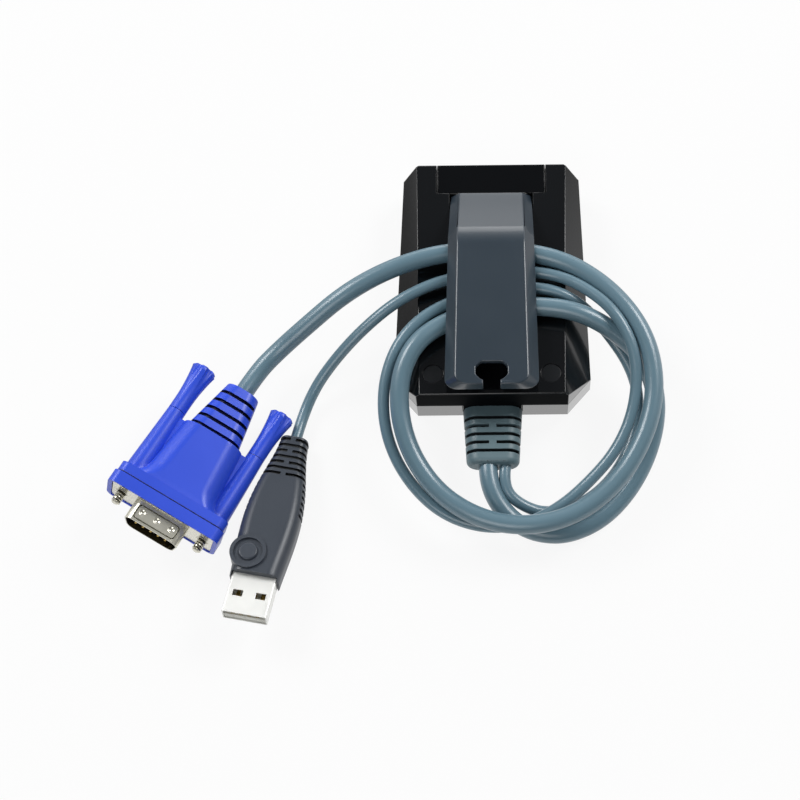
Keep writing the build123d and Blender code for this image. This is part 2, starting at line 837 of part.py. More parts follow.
with BuildPart() as vga_hood:
    with BuildSketch(vga_rear):
        RectangleRounded(vga_cone_width, vga_cone_thickness, vga_cone_corner)
    with BuildSketch(vga_rear.offset(vga_shoulder)):
        RectangleRounded(vga_shoulder_width, vga_shoulder_thickness, vga_cone_corner)
    loft()
    for row in range(vga_rows):
        distance = vga_first_row + row * vga_row_pitch
        taper = distance / vga_shoulder
        row_width = vga_cone_width + (vga_shoulder_width - vga_cone_width) * taper
        row_thickness = vga_cone_thickness + (vga_shoulder_thickness - vga_cone_thickness) * taper
        with BuildSketch(vga_rear.offset(distance - vga_row_width / 2)):
            Rectangle(2 * vga_shoulder_width, 2 * vga_shoulder_thickness)
            RectangleRounded(
                row_width - 2 * vga_row_depth,
                row_thickness - 2 * vga_row_depth,
                vga_cone_corner - vga_row_depth,
                mode=Mode.SUBTRACT,
            )
            Rectangle(2 * vga_shoulder_width, vga_row_web, mode=Mode.SUBTRACT)
        extrude(amount=vga_row_width, mode=Mode.SUBTRACT)
    with BuildSketch(vga_rear.offset(vga_shoulder)):
        RectangleRounded(vga_body_width, vga_body_thickness, vga_body_corner)
    with BuildSketch(vga_rear.offset(vga_flange_back - vga_bell_depth)):
        RectangleRounded(vga_body_middle_width, vga_body_middle_thickness, vga_body_corner)
    loft()
    for depth, share in ((vga_bell_depth, 0), (vga_bell_depth * vga_bell_share, vga_bell_share), (0, 1)):
        bell_width = vga_body_middle_width + (vga_body_front_width - vga_body_middle_width) * share
        bell_thickness = vga_body_middle_thickness + (vga_body_front_thickness - vga_body_middle_thickness) * share
        with BuildSketch(vga_rear.offset(vga_flange_back - depth)):
            RectangleRounded(bell_width, bell_thickness, vga_body_corner)
    loft()
    for place in vga_screw_places:
        with BuildSketch(vga_rear.offset(vga_tube_start)):
            with Locations(place):
                Circle(vga_tube_diameter / 2)
        with BuildSketch(vga_rear.offset(vga_flange_back)):
            with Locations(place):
                Circle(vga_tube_front_diameter / 2)
        loft()
    with BuildSketch(vga_rear.offset(vga_shoulder)):
        Rectangle(vga_screw_spacing, vga_web_thickness)
    extrude(amount=vga_flange_back - vga_shoulder)
    with BuildSketch(vga_rear.offset(vga_flange_back)):
        RectangleRounded(
            vga_flange_width - 2 * vga_rim_step,
            vga_flange_thickness - 2 * vga_rim_step,
            vga_flange_corner,
        )
    extrude(amount=vga_flange_depth - vga_rim_depth)
    with BuildSketch(vga_rear.offset(vga_length - vga_rim_depth)):
        RectangleRounded(vga_flange_width, vga_flange_thickness, vga_flange_corner)
    extrude(amount=vga_rim_depth)
    with BuildSketch(vga_rear.offset(vga_plate_back)):
        RectangleRounded(vga_plate_width + 2 * fit_gap, vga_plate_thickness + 2 * fit_gap, vga_plate_corner)
    extrude(amount=vga_plate_recess, mode=Mode.SUBTRACT)
    with BuildSketch(vga_rear.offset(vga_plate_back)):
        shell_outline(0)
    extrude(amount=-vga_carrier_depth, mode=Mode.SUBTRACT)
    with BuildSketch(vga_rear.offset(vga_tube_start)):
        with Locations(*vga_screw_places):
            Circle(vga_screw_bore / 2)
    extrude(amount=vga_tube_length, mode=Mode.SUBTRACT)
vga_hood.part.label = "vga_hood"
export_step(vga_hood.part, "parts/vga_hood.step")

# Video plug shell: drawn nickel-plated steel, a plate with a D-shaped tube and three dimples
with BuildPart() as vga_shell:
    with BuildSketch(vga_rear.offset(vga_plate_back)):
        RectangleRounded(vga_plate_width, vga_plate_thickness, vga_plate_corner)
        with Locations(*vga_screw_places):
            Circle(vga_screw_bore / 2, mode=Mode.SUBTRACT)
    extrude(amount=vga_plate_gauge)
    with BuildSketch(vga_rear.offset(vga_plate_back)):
        shell_outline(0)
    extrude(amount=vga_plate_gauge + vga_shell_reach)
    with BuildSketch(vga_rear.offset(vga_plate_back)):
        shell_outline(vga_shell_gauge)
    extrude(amount=vga_plate_gauge + vga_shell_reach, mode=Mode.SUBTRACT)
    vga_wide_side = Plane(
        origin=vga_rear.from_local_coords((0, vga_shell_height / 2, vga_plate_front + vga_shell_reach / 2)),
        x_dir=vga_rear.x_dir,
        z_dir=vga_rear.y_dir,
    )
    with Locations(vga_wide_side.offset(vga_dimple_radius - vga_dimple_depth)):
        with GridLocations(vga_dimple_pitch, vga_dimple_pitch, vga_dimples, 1):
            Sphere(vga_dimple_radius, mode=Mode.SUBTRACT)
vga_shell.part.label = "vga_shell"
export_step(vga_shell.part, "parts/vga_shell.step")

# Pin carrier behind the plate
with BuildPart() as vga_insulator:
    with BuildSketch(vga_rear.offset(vga_plate_back)):
        shell_outline(fit_gap)
    extrude(amount=-vga_carrier_depth)
    with BuildSketch(vga_rear.offset(vga_plate_back)):
        shell_outline(vga_shell_gauge + fit_gap)
    extrude(amount=vga_plate_gauge)
vga_insulator.part.label = "vga_insulator"
export_step(vga_insulator.part, "parts/vga_insulator.step")

# Fifteen pins in three rows, the middle row half a pitch across
with BuildPart() as vga_pins:
    for row in range(vga_pin_rows):
        shift = vga_pin_pitch / 4 * (1 if row % 2 else -1)
        with BuildSketch(vga_rear.offset(vga_plate_front)):
            with Locations((shift, (row - 1) * vga_pin_row_pitch)):
                with GridLocations(vga_pin_pitch, vga_pin_pitch, vga_pins_across, 1):
                    Circle(vga_pin_diameter / 2)
        extrude(amount=vga_pin_reach)
vga_pins.part.label = "vga_pins"
export_step(vga_pins.part, "parts/vga_pins.step")

# Thumbscrews: a fluted knob behind each tube and a steel screw through it
vga_knob_rear = vga_tube_start - vga_knob_gap - vga_knob_length


def thumbscrew_plane(side):
    """Plane on the rear end of one thumbscrew."""
    place = vga_rear.from_local_coords((side * vga_screw_spacing / 2, 0, vga_knob_rear))
    return Plane(origin=place, x_dir=vga_rear.x_dir, z_dir=vga_rear.z_dir)


def knob(side):
    """Flared knob with scalloped flutes, a closed end and a bore for its screw."""
    rear = thumbscrew_plane(side)
    profile = Plane(origin=rear.origin, x_dir=rear.x_dir, z_dir=-rear.y_dir)
    neck = vga_tube_diameter / 2
    grip = vga_knob_diameter / 2
    with BuildPart() as form:
        with BuildSketch(profile):
            with BuildLine():
                edge = Polyline(
                    (0, vga_knob_length),
                    (neck, vga_knob_length),
                    (neck, vga_knob_length - vga_knob_neck),
                )
                flare = TangentArc(edge @ 1, (grip, edge_round), tangent=edge % 1)
                Polyline(flare @ 1, (grip - edge_round, 0), (0, 0), (0, vga_knob_length))
            make_face()
        revolve(axis=Axis(rear.origin, rear.z_dir))
        with BuildSketch(rear):
            with PolarLocations(grip + vga_knob_flute - vga_knob_flute_depth, vga_knob_flutes):
                Circle(vga_knob_flute)
        extrude(amount=vga_knob_grip, mode=Mode.SUBTRACT)
        with BuildSketch(rear.offset(vga_knob_end)):
            Circle(vga_screw_diameter / 2)
        extrude(amount=vga_knob_length, mode=Mode.SUBTRACT)
    return form.part


def screw(side):
    """Shank from the knob's closed end to the plate, then the thread up to its chamfered tip."""
    rear = thumbscrew_plane(side)
    shank = vga_plate_front - vga_knob_rear
    with BuildPart() as form:
        with BuildSketch(rear.offset(vga_knob_end)):
            Circle(vga_screw_diameter / 2)
        extrude(amount=shank - vga_knob_end)
        with BuildSketch(rear.offset(shank)):
            Circle(vga_thread_diameter / 2)
        extrude(amount=vga_length + vga_screw_reach - vga_plate_front)
        tip = form.faces().sort_by(Axis(rear.origin, rear.z_dir))[-1]
        chamfer(tip.edges(), vga_screw_tip)
    return form.part


left_knob = knob(-1)
left_knob.label = "left_knob"
export_step(left_knob, "parts/left_knob.step")
right_knob = knob(1)
right_knob.label = "right_knob"
export_step(right_knob, "parts/right_knob.step")
left_screw = screw(-1)
left_screw.label = "left_screw"
export_step(left_screw, "parts/left_screw.step")
right_screw = screw(1)
right_screw.label = "right_screw"
export_step(right_screw, "parts/right_screw.step")

# USB plug moulding: lofted grip with slot rows, side ridges, a dished boss and two front ears
usb_rear = plug_plane(usb_route, usb_roll)
usb_profile = usb_sections + [(usb_length + usb_ear_reach, usb_front_width, usb_front_thickness)]


def usb_size(distance):
    """Width and thickness of the moulding at a distance from its rear end, between its sections."""
    for (start, width, thickness), (end, next_width, next_thickness) in zip(usb_profile, usb_profile[1:]):
        if distance <= end:
            share = (distance - start) / (end - start)
            return width + (next_width - width) * share, thickness + (next_thickness - thickness) * share
    return next_width, next_thickness


usb_top = Plane(
    origin=usb_rear.from_local_coords((usb_boss_offset, 0, usb_boss_place)),
    x_dir=usb_rear.x_dir,
    z_dir=usb_rear.y_dir,
)
usb_boss_half = usb_size(usb_boss_place)[1] / 2
with BuildPart() as usb_overmold:
    for distance, width, thickness in usb_profile:
        with BuildSketch(usb_rear.offset(distance)):
            RectangleRounded(width, thickness, thickness * usb_corner_share)
    loft()
    fillet(usb_overmold.faces().sort_by(Axis(usb_rear.origin, usb_rear.z_dir))[0].edges(), usb_rear_round)
    with BuildSketch(usb_rear.offset(usb_length)):
        Rectangle(usb_shell_width + 2 * fit_gap, 2 * usb_front_thickness)
    extrude(amount=2 * usb_ear_reach, mode=Mode.SUBTRACT)
    for row in range(usb_rows):
        distance = usb_first_row + row * usb_row_pitch
        row_width, row_thickness = usb_size(distance)
        with BuildSketch(usb_rear.offset(distance - usb_row_width / 2)):
            Rectangle(2 * row_width, 2 * row_thickness)
            RectangleRounded(
                row_width - 2 * usb_row_depth,
                row_thickness - 2 * usb_row_depth,
                row_thickness * usb_corner_share - usb_row_depth / 2,
                mode=Mode.SUBTRACT,
            )
            if row % 2:
                Rectangle(4 * row_width, usb_row_web, mode=Mode.SUBTRACT)
            else:
                Rectangle(usb_row_web, 4 * row_thickness, mode=Mode.SUBTRACT)
        extrude(amount=usb_row_width, mode=Mode.SUBTRACT)
    for ridge in range(usb_ridges):
        distance = usb_first_ridge + ridge * usb_ridge_pitch
        ridge_width, ridge_thickness = usb_size(distance)
        with BuildSketch(usb_rear.offset(distance - usb_ridge_width / 2)):
            with GridLocations(ridge_width, ridge_thickness, 2, 1):
                Rectangle(2 * usb_ridge_depth, ridge_thickness)
        extrude(amount=usb_ridge_width, mode=Mode.SUBTRACT)
    with BuildSketch(usb_top.offset(-usb_boss_half)):
        Circle(usb_boss_diameter / 2)
    extrude(amount=2 * usb_boss_half + usb_boss_rise)
    with BuildSketch(usb_top.offset(usb_boss_half + usb_boss_rise)):
        Circle(usb_dish_diameter / 2)
        Circle(usb_dome_diameter / 2, mode=Mode.SUBTRACT)
    extrude(amount=-usb_dish_depth, mode=Mode.SUBTRACT)
    dish_edges = usb_overmold.edges().filter_by(GeomType.CIRCLE).sort_by(Axis(usb_top.origin, usb_top.z_dir))
    dome_edge = dish_edges.group_by(Axis(usb_top.origin, usb_top.z_dir))[-1].sort_by(SortBy.RADIUS)[0]
    fillet(dome_edge, usb_dome_rise)
    with BuildSketch(usb_rear.offset(usb_length - usb_shell_seat)):
        Rectangle(usb_shell_width + 2 * fit_gap, usb_shell_height + 2 * fit_gap)
    extrude(amount=2 * usb_shell_seat, mode=Mode.SUBTRACT)
usb_overmold.part.label = "usb_overmold"
export_step(usb_overmold.part, "parts/usb_overmold.step")

# USB plug shell: folded steel tube with four windows
usb_nose = usb_length + usb_shell_length
with BuildPart() as usb_shell:
    with BuildSketch(usb_rear.offset(usb_length - usb_shell_seat)):
        RectangleRounded(usb_shell_width, usb_shell_height, usb_shell_corner)
    extrude(amount=usb_shell_seat + usb_shell_length)
    with BuildSketch(usb_rear.offset(usb_length)):
        Rectangle(usb_shell_width - 2 * usb_shell_gauge, usb_shell_height - 2 * usb_shell_gauge)
    extrude(amount=usb_shell_length, mode=Mode.SUBTRACT)
    usb_window_plane = Plane(
        origin=usb_rear.from_local_coords((0, 0, usb_nose - usb_window_setback)),
        x_dir=usb_rear.x_dir,
        z_dir=usb_rear.y_dir,
    )
    with BuildSketch(usb_window_plane):
        with GridLocations(usb_window_spacing, usb_window_spacing, 2, 1):
            Rectangle(usb_window_width, usb_window_length)
    extrude(amount=usb_shell_height, both=True, mode=Mode.SUBTRACT)
usb_shell.part.label = "usb_shell"
export_step(usb_shell.part, "parts/usb_shell.step")

# Tongue in the lower half of the shell, and its four contacts
usb_tongue_middle = -usb_shell_height / 2 + usb_shell_gauge + usb_tongue_height / 2
with BuildPart() as usb_tongue:
    with BuildSketch(usb_rear.offset(usb_length)):
        with Locations((0, usb_tongue_middle)):
            Rectangle(usb_shell_width - 2 * usb_shell_gauge, usb_tongue_height)
    extrude(amount=usb_shell_length - usb_shell_gauge)
usb_tongue.part.label = "usb_tongue"
export_step(usb_tongue.part, "parts/usb_tongue.step")

with BuildPart() as usb_contacts:
    with BuildSketch(usb_rear.offset(usb_nose - usb_contact_length - 2 * usb_shell_gauge)):
        with Locations((0, usb_tongue_middle + usb_tongue_height / 2 + usb_contact_gauge / 2)):
            with GridLocations(usb_contact_pitch, usb_contact_pitch, usb_contacts_count, 1):
                Rectangle(usb_contact_width, usb_contact_gauge)
    extrude(amount=usb_contact_length)
usb_contacts.part.label = "usb_contacts"
export_step(usb_contacts.part, "parts/usb_contacts.step")
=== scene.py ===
from math import cos, pi, radians, sin

import bmesh
import bpy
from mathutils import Matrix, Vector


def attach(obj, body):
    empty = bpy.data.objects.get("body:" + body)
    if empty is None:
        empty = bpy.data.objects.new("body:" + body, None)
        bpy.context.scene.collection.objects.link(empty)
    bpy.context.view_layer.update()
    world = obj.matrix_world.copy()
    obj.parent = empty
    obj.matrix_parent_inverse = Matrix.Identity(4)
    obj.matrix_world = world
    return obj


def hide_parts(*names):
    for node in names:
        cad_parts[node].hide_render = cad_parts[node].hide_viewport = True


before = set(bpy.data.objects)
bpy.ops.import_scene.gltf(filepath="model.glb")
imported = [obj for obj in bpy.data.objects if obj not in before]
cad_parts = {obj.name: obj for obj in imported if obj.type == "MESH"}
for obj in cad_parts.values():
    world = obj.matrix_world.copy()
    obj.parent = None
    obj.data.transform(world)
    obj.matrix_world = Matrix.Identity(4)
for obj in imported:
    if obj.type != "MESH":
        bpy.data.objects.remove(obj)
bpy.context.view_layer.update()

# Front cover: the black tray that the case lies on, injection-moulded in a tool with polished
# walls, so its sides mirror the table. Posts inside it take the screws of the case and the board.
mm = 0.001


def linear(red, green, blue):
    """Linear colour of an 8-bit display colour."""
    shares = [level / 255 for level in (red, green, blue)]
    return [((s + 0.055) / 1.055) ** 2.4 if s > 0.04045 else s / 12.92 for s in shares] + [1.0]


def moulded(
    name, colour, roughness, grain=900.0, depth=0.02, mottle=0.06, coat=0.0, specular=0.5
):
    """Moulded plastic or rubber: a grain, a slow mottle in colour and gloss that varies a bit."""
    grains_per_mottle = 18
    gloss_spread = 0.14
    material = bpy.data.materials.new(name)
    material.use_nodes = True
    nodes, links = material.node_tree.nodes, material.node_tree.links
    shader = nodes["Principled BSDF"]
    shader.inputs["Coat Weight"].default_value = coat
    shader.inputs["Coat Roughness"].default_value = 0.03
    shader.inputs["Specular IOR Level"].default_value = specular
    place = nodes.new("ShaderNodeTexCoord")
    fine = nodes.new("ShaderNodeTexNoise")
    fine.inputs["Scale"].default_value = grain
    fine.inputs["Detail"].default_value = 3.0
    slow = nodes.new("ShaderNodeTexNoise")
    slow.inputs["Scale"].default_value = grain / grains_per_mottle
    slow.inputs["Detail"].default_value = 4.0
    shade = nodes.new("ShaderNodeMix")
    shade.data_type = "RGBA"
    shade.inputs["A"].default_value = [c * (1 - mottle) for c in colour[:3]] + [1.0]
    shade.inputs["B"].default_value = [min(1.0, c * (1 + mottle)) for c in colour[:3]] + [1.0]
    gloss = nodes.new("ShaderNodeMapRange")
    gloss.inputs["To Min"].default_value = roughness * (1 - gloss_spread)
    gloss.inputs["To Max"].default_value = roughness * (1 + gloss_spread)
    bump = nodes.new("ShaderNodeBump")
    bump.inputs["Strength"].default_value = 0.35
    bump.inputs["Distance"].default_value = depth * mm
    links.new(place.outputs["Object"], fine.inputs["Vector"])
    links.new(place.outputs["Object"], slow.inputs["Vector"])
    links.new(slow.outputs["Fac"], shade.inputs["Factor"])
    links.new(slow.outputs["Fac"], gloss.inputs["Value"])
    links.new(fine.outputs["Fac"], bump.inputs["Height"])
    links.new(shade.outputs["Result"], shader.inputs["Base Color"])
    links.new(gloss.outputs["Result"], shader.inputs["Roughness"])
    links.new(bump.outputs["Normal"], shader.inputs["Normal"])
    return material


def plain_mesh(piece):
    """The mesh that an object's modifiers make."""
    return bpy.data.meshes.new_from_object(
        piece.evaluated_get(bpy.context.evaluated_depsgraph_get())
    )


def rounded_copy(node, material, edge=0.0, segments=1, soften=None, clamp=False):
    """A copy of a CAD node's mesh with its doubles merged, flats joined and sharp edges rounded."""
    merge_distance = 0.002 * mm
    flat_angle = radians(0.6)
    sharp_angle = radians(28.0)
    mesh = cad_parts[node].data.copy()
    work = bmesh.new()
    work.from_mesh(mesh)
    bmesh.ops.remove_doubles(work, verts=work.verts, dist=merge_distance)
    bmesh.ops.dissolve_limit(work, angle_limit=flat_angle, verts=work.verts, edges=work.edges)
    if soften:
        soften(work)
    work.to_mesh(mesh)
    work.free()
    mesh.shade_smooth()
    piece = bpy.data.objects.new(node + "_moulding", mesh)
    bpy.context.collection.objects.link(piece)
    if edge:
        bevel = piece.modifiers.new("edge", "BEVEL")
        bevel.width = edge * mm
        bevel.segments = segments
        bevel.limit_method = "ANGLE"
        bevel.angle_limit = sharp_angle
        bevel.miter_outer = "MITER_ARC"
        bevel.use_clamp_overlap = clamp
        flats = piece.modifiers.new("flats", "WEIGHTED_NORMAL")
        flats.keep_sharp = False
        solid = plain_mesh(piece)
        piece.modifiers.clear()
        piece.data = solid
    piece.data.materials.clear()
    piece.data.materials.append(material)
    piece.data.shade_smooth()
    piece.data.set_sharp_from_angle(angle=sharp_angle)
    return piece


def fit(piece, body, node):
    """The piece rides on its body and stands for its CAD node, which is hidden."""
    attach(piece, body)
    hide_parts(node)


mirror_black = moulded(
    "mirror_black", linear(11, 12, 13), 0.14, grain=600.0, depth=0.003, coat=1.0, specular=0.8
)
front_cover = rounded_copy("front_cover", mirror_black, edge=0.3, segments=3, clamp=True)
fit(front_cover, "case", "front_cover")

# Back cover: the bevelled black shell that faces up, moulded in the same polished tool and held by
# two screws under caps. Its wall at the cord end is left dull, so it stays dark above the joint.
gloss_black = moulded("gloss_black", linear(11, 12, 14), 0.16, grain=600.0, depth=0.003, coat=0.35)
back_cover = rounded_copy("back_cover", gloss_black, edge=0.2, segments=3)
cord_end_facing = -0.97
dull_black = moulded("dull_black", linear(8, 10, 12), 0.7, depth=0.03, specular=0.03)
back_cover.data.materials.append(dull_black)
for face in back_cover.data.polygons:
    if face.normal.y < cord_end_facing:
        face.material_index = 1
fit(back_cover, "case", "back_cover")

# Cable clip: a springy moulded arm on a foot that is screwed from inside the case. Its skin is a
# satin black, a shade lighter than the case, and its edges are rounded so that cords slide under.
# The foot is polished like the case that it lies in.
clip_black = moulded("clip_black", linear(45, 55, 64), 0.3, grain=1400.0, depth=0.006, coat=0.25)
bend_y = 8.1 * mm
bend_width = 3.4 * mm
clip_top = 28.9 * mm


def soften_bend(work):
    """Rounds the top edge where the arm turns level."""
    near = 0.05 * mm
    bend = [
        edge for edge in work.edges
        if all(abs(v.co.y - bend_y) < near and abs(v.co.z - clip_top) < near for v in edge.verts)
    ]
    bmesh.ops.bevel(work, geom=bend, offset=bend_width, segments=8, profile=0.5, affect="EDGES")


cable_clip = rounded_copy("cable_clip", clip_black, edge=0.35, segments=4, soften=soften_bend)
foot_black = moulded("foot_black", linear(9, 10, 12), 0.16, depth=0.003, specular=0.3)
cable_clip.data.materials.append(foot_black)
foot_front = 27.5 * mm
for face in cable_clip.data.polygons:
    if face.center.y > foot_front:
        face.material_index = 1
fit(cable_clip, "case", "cable_clip")

# Screw caps: two round rubber plugs that are pressed into the wells over the case screws. Their
# rims are moulded with a small chamfer, which catches the light as a thin ring.
cap_rubber = moulded("cap_rubber", linear(20, 22, 25), 0.28, depth=0.006)
screw_caps = rounded_copy("screw_caps", cap_rubber, edge=0.08, segments=2)
fit(screw_caps, "case", "screw_caps")

# Inside the case: a green glass-fibre board on four posts with moulded chips, a can-type crystal,
# two white headers, the stripped leads, steel screws and the folded socket at the far wall.
board_green = moulded("board_green", linear(28, 84, 48), 0.35, grain=500.0, mottle=0.15)
chip_black = moulded("chip_black", linear(26, 26, 28), 0.5)
header_white = moulded("header_white", linear(214, 208, 190), 0.5)
grey_lead = moulded("grey_lead", linear(96, 108, 118), 0.45)


def plated(name, colour, roughness, metallic=1.0):
    """Plated or rolled metal: fine rolling marks as bump, and gloss and tone that vary slowly."""
    rolling_marks = 1500.0
    wear_marks = 250.0
    dull_tone = 0.9
    gloss_spread = 0.2
    material = bpy.data.materials.new(name)
    material.use_nodes = True
    nodes, links = material.node_tree.nodes, material.node_tree.links
    shader = nodes["Principled BSDF"]
    shader.inputs["Metallic"].default_value = metallic
    place = nodes.new("ShaderNodeTexCoord")
    wear = nodes.new("ShaderNodeTexNoise")
    wear.inputs["Scale"].default_value = wear_marks
    wear.inputs["Detail"].default_value = 5.0
    tone = nodes.new("ShaderNodeMix")
    tone.data_type = "RGBA"
    tone.inputs["A"].default_value = [c * dull_tone for c in colour[:3]] + [1.0]
    tone.inputs["B"].default_value = colour
    gloss = nodes.new("ShaderNodeMapRange")
    gloss.inputs["To Min"].default_value = roughness * (1 - gloss_spread)
    gloss.inputs["To Max"].default_value = roughness * (1 + gloss_spread)
    fine = nodes.new("ShaderNodeTexNoise")
    fine.inputs["Scale"].default_value = rolling_marks
    bump = nodes.new("ShaderNodeBump")
    bump.inputs["Strength"].default_value = 0.2
    bump.inputs["Distance"].default_value = 0.008 * mm
    links.new(place.outputs["Object"], wear.inputs["Vector"])
    links.new(place.outputs["Object"], fine.inputs["Vector"])
    links.new(wear.outputs["Fac"], gloss.inputs["Value"])
    links.new(wear.outputs["Fac"], tone.inputs["Factor"])
    links.new(tone.outputs["Result"], shader.inputs["Base Color"])
    links.new(gloss.outputs["Result"], shader.inputs["Roughness"])
    links.new(fine.outputs["Fac"], bump.inputs["Height"])
    links.new(bump.outputs["Normal"], shader.inputs["Normal"])
    return material


steel = plated("steel", linear(190, 190, 192), 0.3)
nickel = plated("nickel", linear(226, 223, 208), 0.24, metallic=0.65)
inner_finish = {
    "main_board": board_green,
    "capture_chip": chip_black,
    "bridge_chip": chip_black,
    "memory_chip": chip_black,
    "crystal": steel,
    "case_screws": steel,
    "clip_screws": steel,
    "board_screws": steel,
    "video_header": header_white,
    "usb_header": header_white,
    "video_leads": grey_lead,
    "usb_leads": grey_lead,
    "mini_usb_socket": nickel,
    "mini_usb_tongue": chip_black,
}
for node, finish in inner_finish.items():
    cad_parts[node].data.materials.clear()
    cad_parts[node].data.materials.append(finish)

# Strain relief: a soft grey boot, moulded in one over both cords, with rows of slots that let it
# bend. A black collar, part of the case, covers its root.
boot_grey = moulded("boot_grey", linear(92, 113, 120), 0.44, grain=1200.0)
# Painted shade: the slot walls of the boot are painted a dark grey for the shade inside the slots.
boot_shadow = moulded("boot_shadow", linear(34, 42, 46), 0.6)
strain_relief = rounded_copy("strain_relief", boot_grey, edge=0.12, segments=2)


def slot_faces(piece, place, reach, root, tip, corner, material):
    """Paints the walls of slots cut into a tapered, round-cornered form in a darker painted shade.

    Root and tip are the form's width and thickness at its two ends, corner its radius as a share of
    the thickness, and place its frame, with Z along the form.
    """
    piece.data.materials.append(material)
    shallow, deep = 0.4 * mm, 2.2 * mm
    first_share, last_share = 0.04, 0.97
    home = place.inverted()
    for face in piece.data.polygons:
        spot = home @ face.center
        share = spot.z / reach
        if not first_share < share < last_share:
            continue
        width = root[0] + (tip[0] - root[0]) * share
        thickness = root[1] + (tip[1] - root[1]) * share
        radius = thickness * corner
        side = abs(spot.x) - (width / 2 - radius)
        top = abs(spot.y) - (thickness / 2 - radius)
        round_corner = Vector((max(side, 0), max(top, 0))).length
        outside = round_corner + min(max(side, top), 0) - radius
        if -deep < outside < -shallow:
            face.material_index = 1


boot_root = Vector((0, -36.5, 7.4)) * mm
boot_frame = Matrix.Translation(boot_root) @ Matrix.Rotation(radians(90), 4, "X")
boot_length = 16.5 * mm
boot_root_size = (16.4 * mm, 8.0 * mm)
boot_end_size = (14.4 * mm, 7.4 * mm)
boot_corner = 0.5
slot_faces(
    strain_relief, boot_frame, boot_length, boot_root_size, boot_end_size, boot_corner, boot_shadow
)
fit(strain_relief, "case", "strain_relief")

# Video plug hood: a blue moulding with a slotted cone, a barrel, two screw tubes and a flange,
# all in one shot, with a thin seam behind the flange's rim. The slot walls and the seam are
# painted a dark navy, a painted shade for the depth of the slots and the step at the seam. The
# video cord's last two points give the plug's place and the way it points.
video_before = (-0.06566, -0.02429, 0.00813)
video_end = (-0.0694, -0.03134, 0.00869)
vga_roll = radians(-14.0)


def plug_frame(before, end, roll):
    """Frame on the end of a cord: Z along its last run, X across the plug, Y up."""
    nose = (Vector(end) - Vector(before)).normalized()
    across = Matrix.Rotation(roll, 3, nose) @ Vector((0, 0, 1)).cross(nose).normalized()
    up = nose.cross(across)
    turn = Matrix((across, up, nose)).transposed().to_4x4()
    return Matrix.Translation(end) @ turn


vga_frame = plug_frame(video_before, video_end, vga_roll)
plug_blue = moulded("plug_blue", linear(40, 74, 204), 0.36, grain=1100.0, depth=0.012)
# Painted shade: a dark navy that the slot walls and the seam bead take for the shade in them.
painted_slot_shade_navy = moulded("painted_slot_shade_navy", linear(14, 18, 74), 0.55)
vga_hood = rounded_copy("vga_hood", plug_blue, edge=0.25, segments=3, clamp=True)
cone_length = 15.6 * mm
cone_root_size = (9.8 * mm, 8.6 * mm)
cone_end_size = (15.6 * mm, 10.8 * mm)
cone_corner = 0.37
slot_faces(
    vga_hood, vga_frame, cone_length, cone_root_size, cone_end_size, cone_corner, painted_slot_shade_navy
)
vga_length = 41.6 * mm
rim_depth = 3.5 * mm
seam_gap = 0.3 * mm
seam_radius = 0.15 * mm
seam_along = vga_length - rim_depth - seam_gap
seam_half_width = 16.3 * mm
seam_half_height = 6.5 * mm
seam_corner = 2.4 * mm


def rounded_rectangle(left, right, near, far, corner, steps=5):
    """Points round a rectangle with round corners."""
    points = []
    for x, y, start in ((right, far, 0), (left, far, 90), (left, near, 180), (right, near, 270)):
        centre_x = x - corner if x == right else x + corner
        centre_y = y - corner if y == far else y + corner
        for step in range(steps + 1):
            angle = radians(start + 90 * step / steps)
            points.append((centre_x + corner * cos(angle), centre_y + corner * sin(angle)))
    return points


def skin(work, one, two):
    """Faces between two rings with the same number of points."""
    count = len(one)
    for step in range(count):
        after = (step + 1) % count
        work.faces.new((one[step], one[after], two[after], two[step]))


def join_bead(piece, points, radius, place, up, sides=8):
    """Joins a closed round bead to a piece, along a flat ring of points that faces up.

    The bead takes the piece's second material.
    """
    work = bmesh.new()
    rings = []
    count = len(points)
    for index, point in enumerate(points):
        before, after = points[index - 1], points[(index + 1) % count]
        along = (after - before).normalized()
        side = along.cross(up).normalized()
        ring = []
        for step in range(sides):
            angle = 2 * pi * step / sides
            spot = point + side * radius * cos(angle) + up * radius * sin(angle)
            ring.append(work.verts.new(place @ spot))
        rings.append(ring)
    for index in range(count):
        skin(work, rings[index], rings[(index + 1) % count])
    bmesh.ops.recalc_face_normals(work, faces=work.faces)
    for face in work.faces:
        face.material_index = 1
        face.smooth = True
    work.from_mesh(piece.data)
    work.to_mesh(piece.data)
    work.free()


seam_ring = [
    Vector((x, y, seam_along))
    for x, y in rounded_rectangle(
        -seam_half_width, seam_half_width, -seam_half_height, seam_half_height, seam_corner
    )
]
# The seam bead takes the dark navy of the slots, a painted shade that draws the step as a dark
# line.
join_bead(vga_hood, seam_ring, seam_radius, vga_frame, Vector((0, 0, 1)))
fit(vga_hood, "case", "vga_hood")

# Video plug shell: a plate and a D-shaped tube drawn from one nickel-plated sheet. A bead is
# pressed into the wide side, round three dimples that grip the socket.
plate_sunk = 0.3 * mm
plate_front = vga_length - plate_sunk
shell_top = 4.18 * mm
bead_radius = 0.16 * mm
bead_half_width = 6.1 * mm
bead_rear = 1.3 * mm
bead_front = 5.1 * mm
bead_corner = 0.8 * mm
vga_shell = rounded_copy("vga_shell", nickel, edge=0.1, segments=2)
bead_ring = [
    Vector((x, shell_top, plate_front + z))
    for x, z in rounded_rectangle(
        -bead_half_width, bead_half_width, bead_rear, bead_front, bead_corner
    )
]
# The bead is painted a dark nickel, a painted shade that draws the pressed groove as a dark line.
join_bead(vga_shell, bead_ring, bead_radius, vga_frame, Vector((0, 1, 0)))
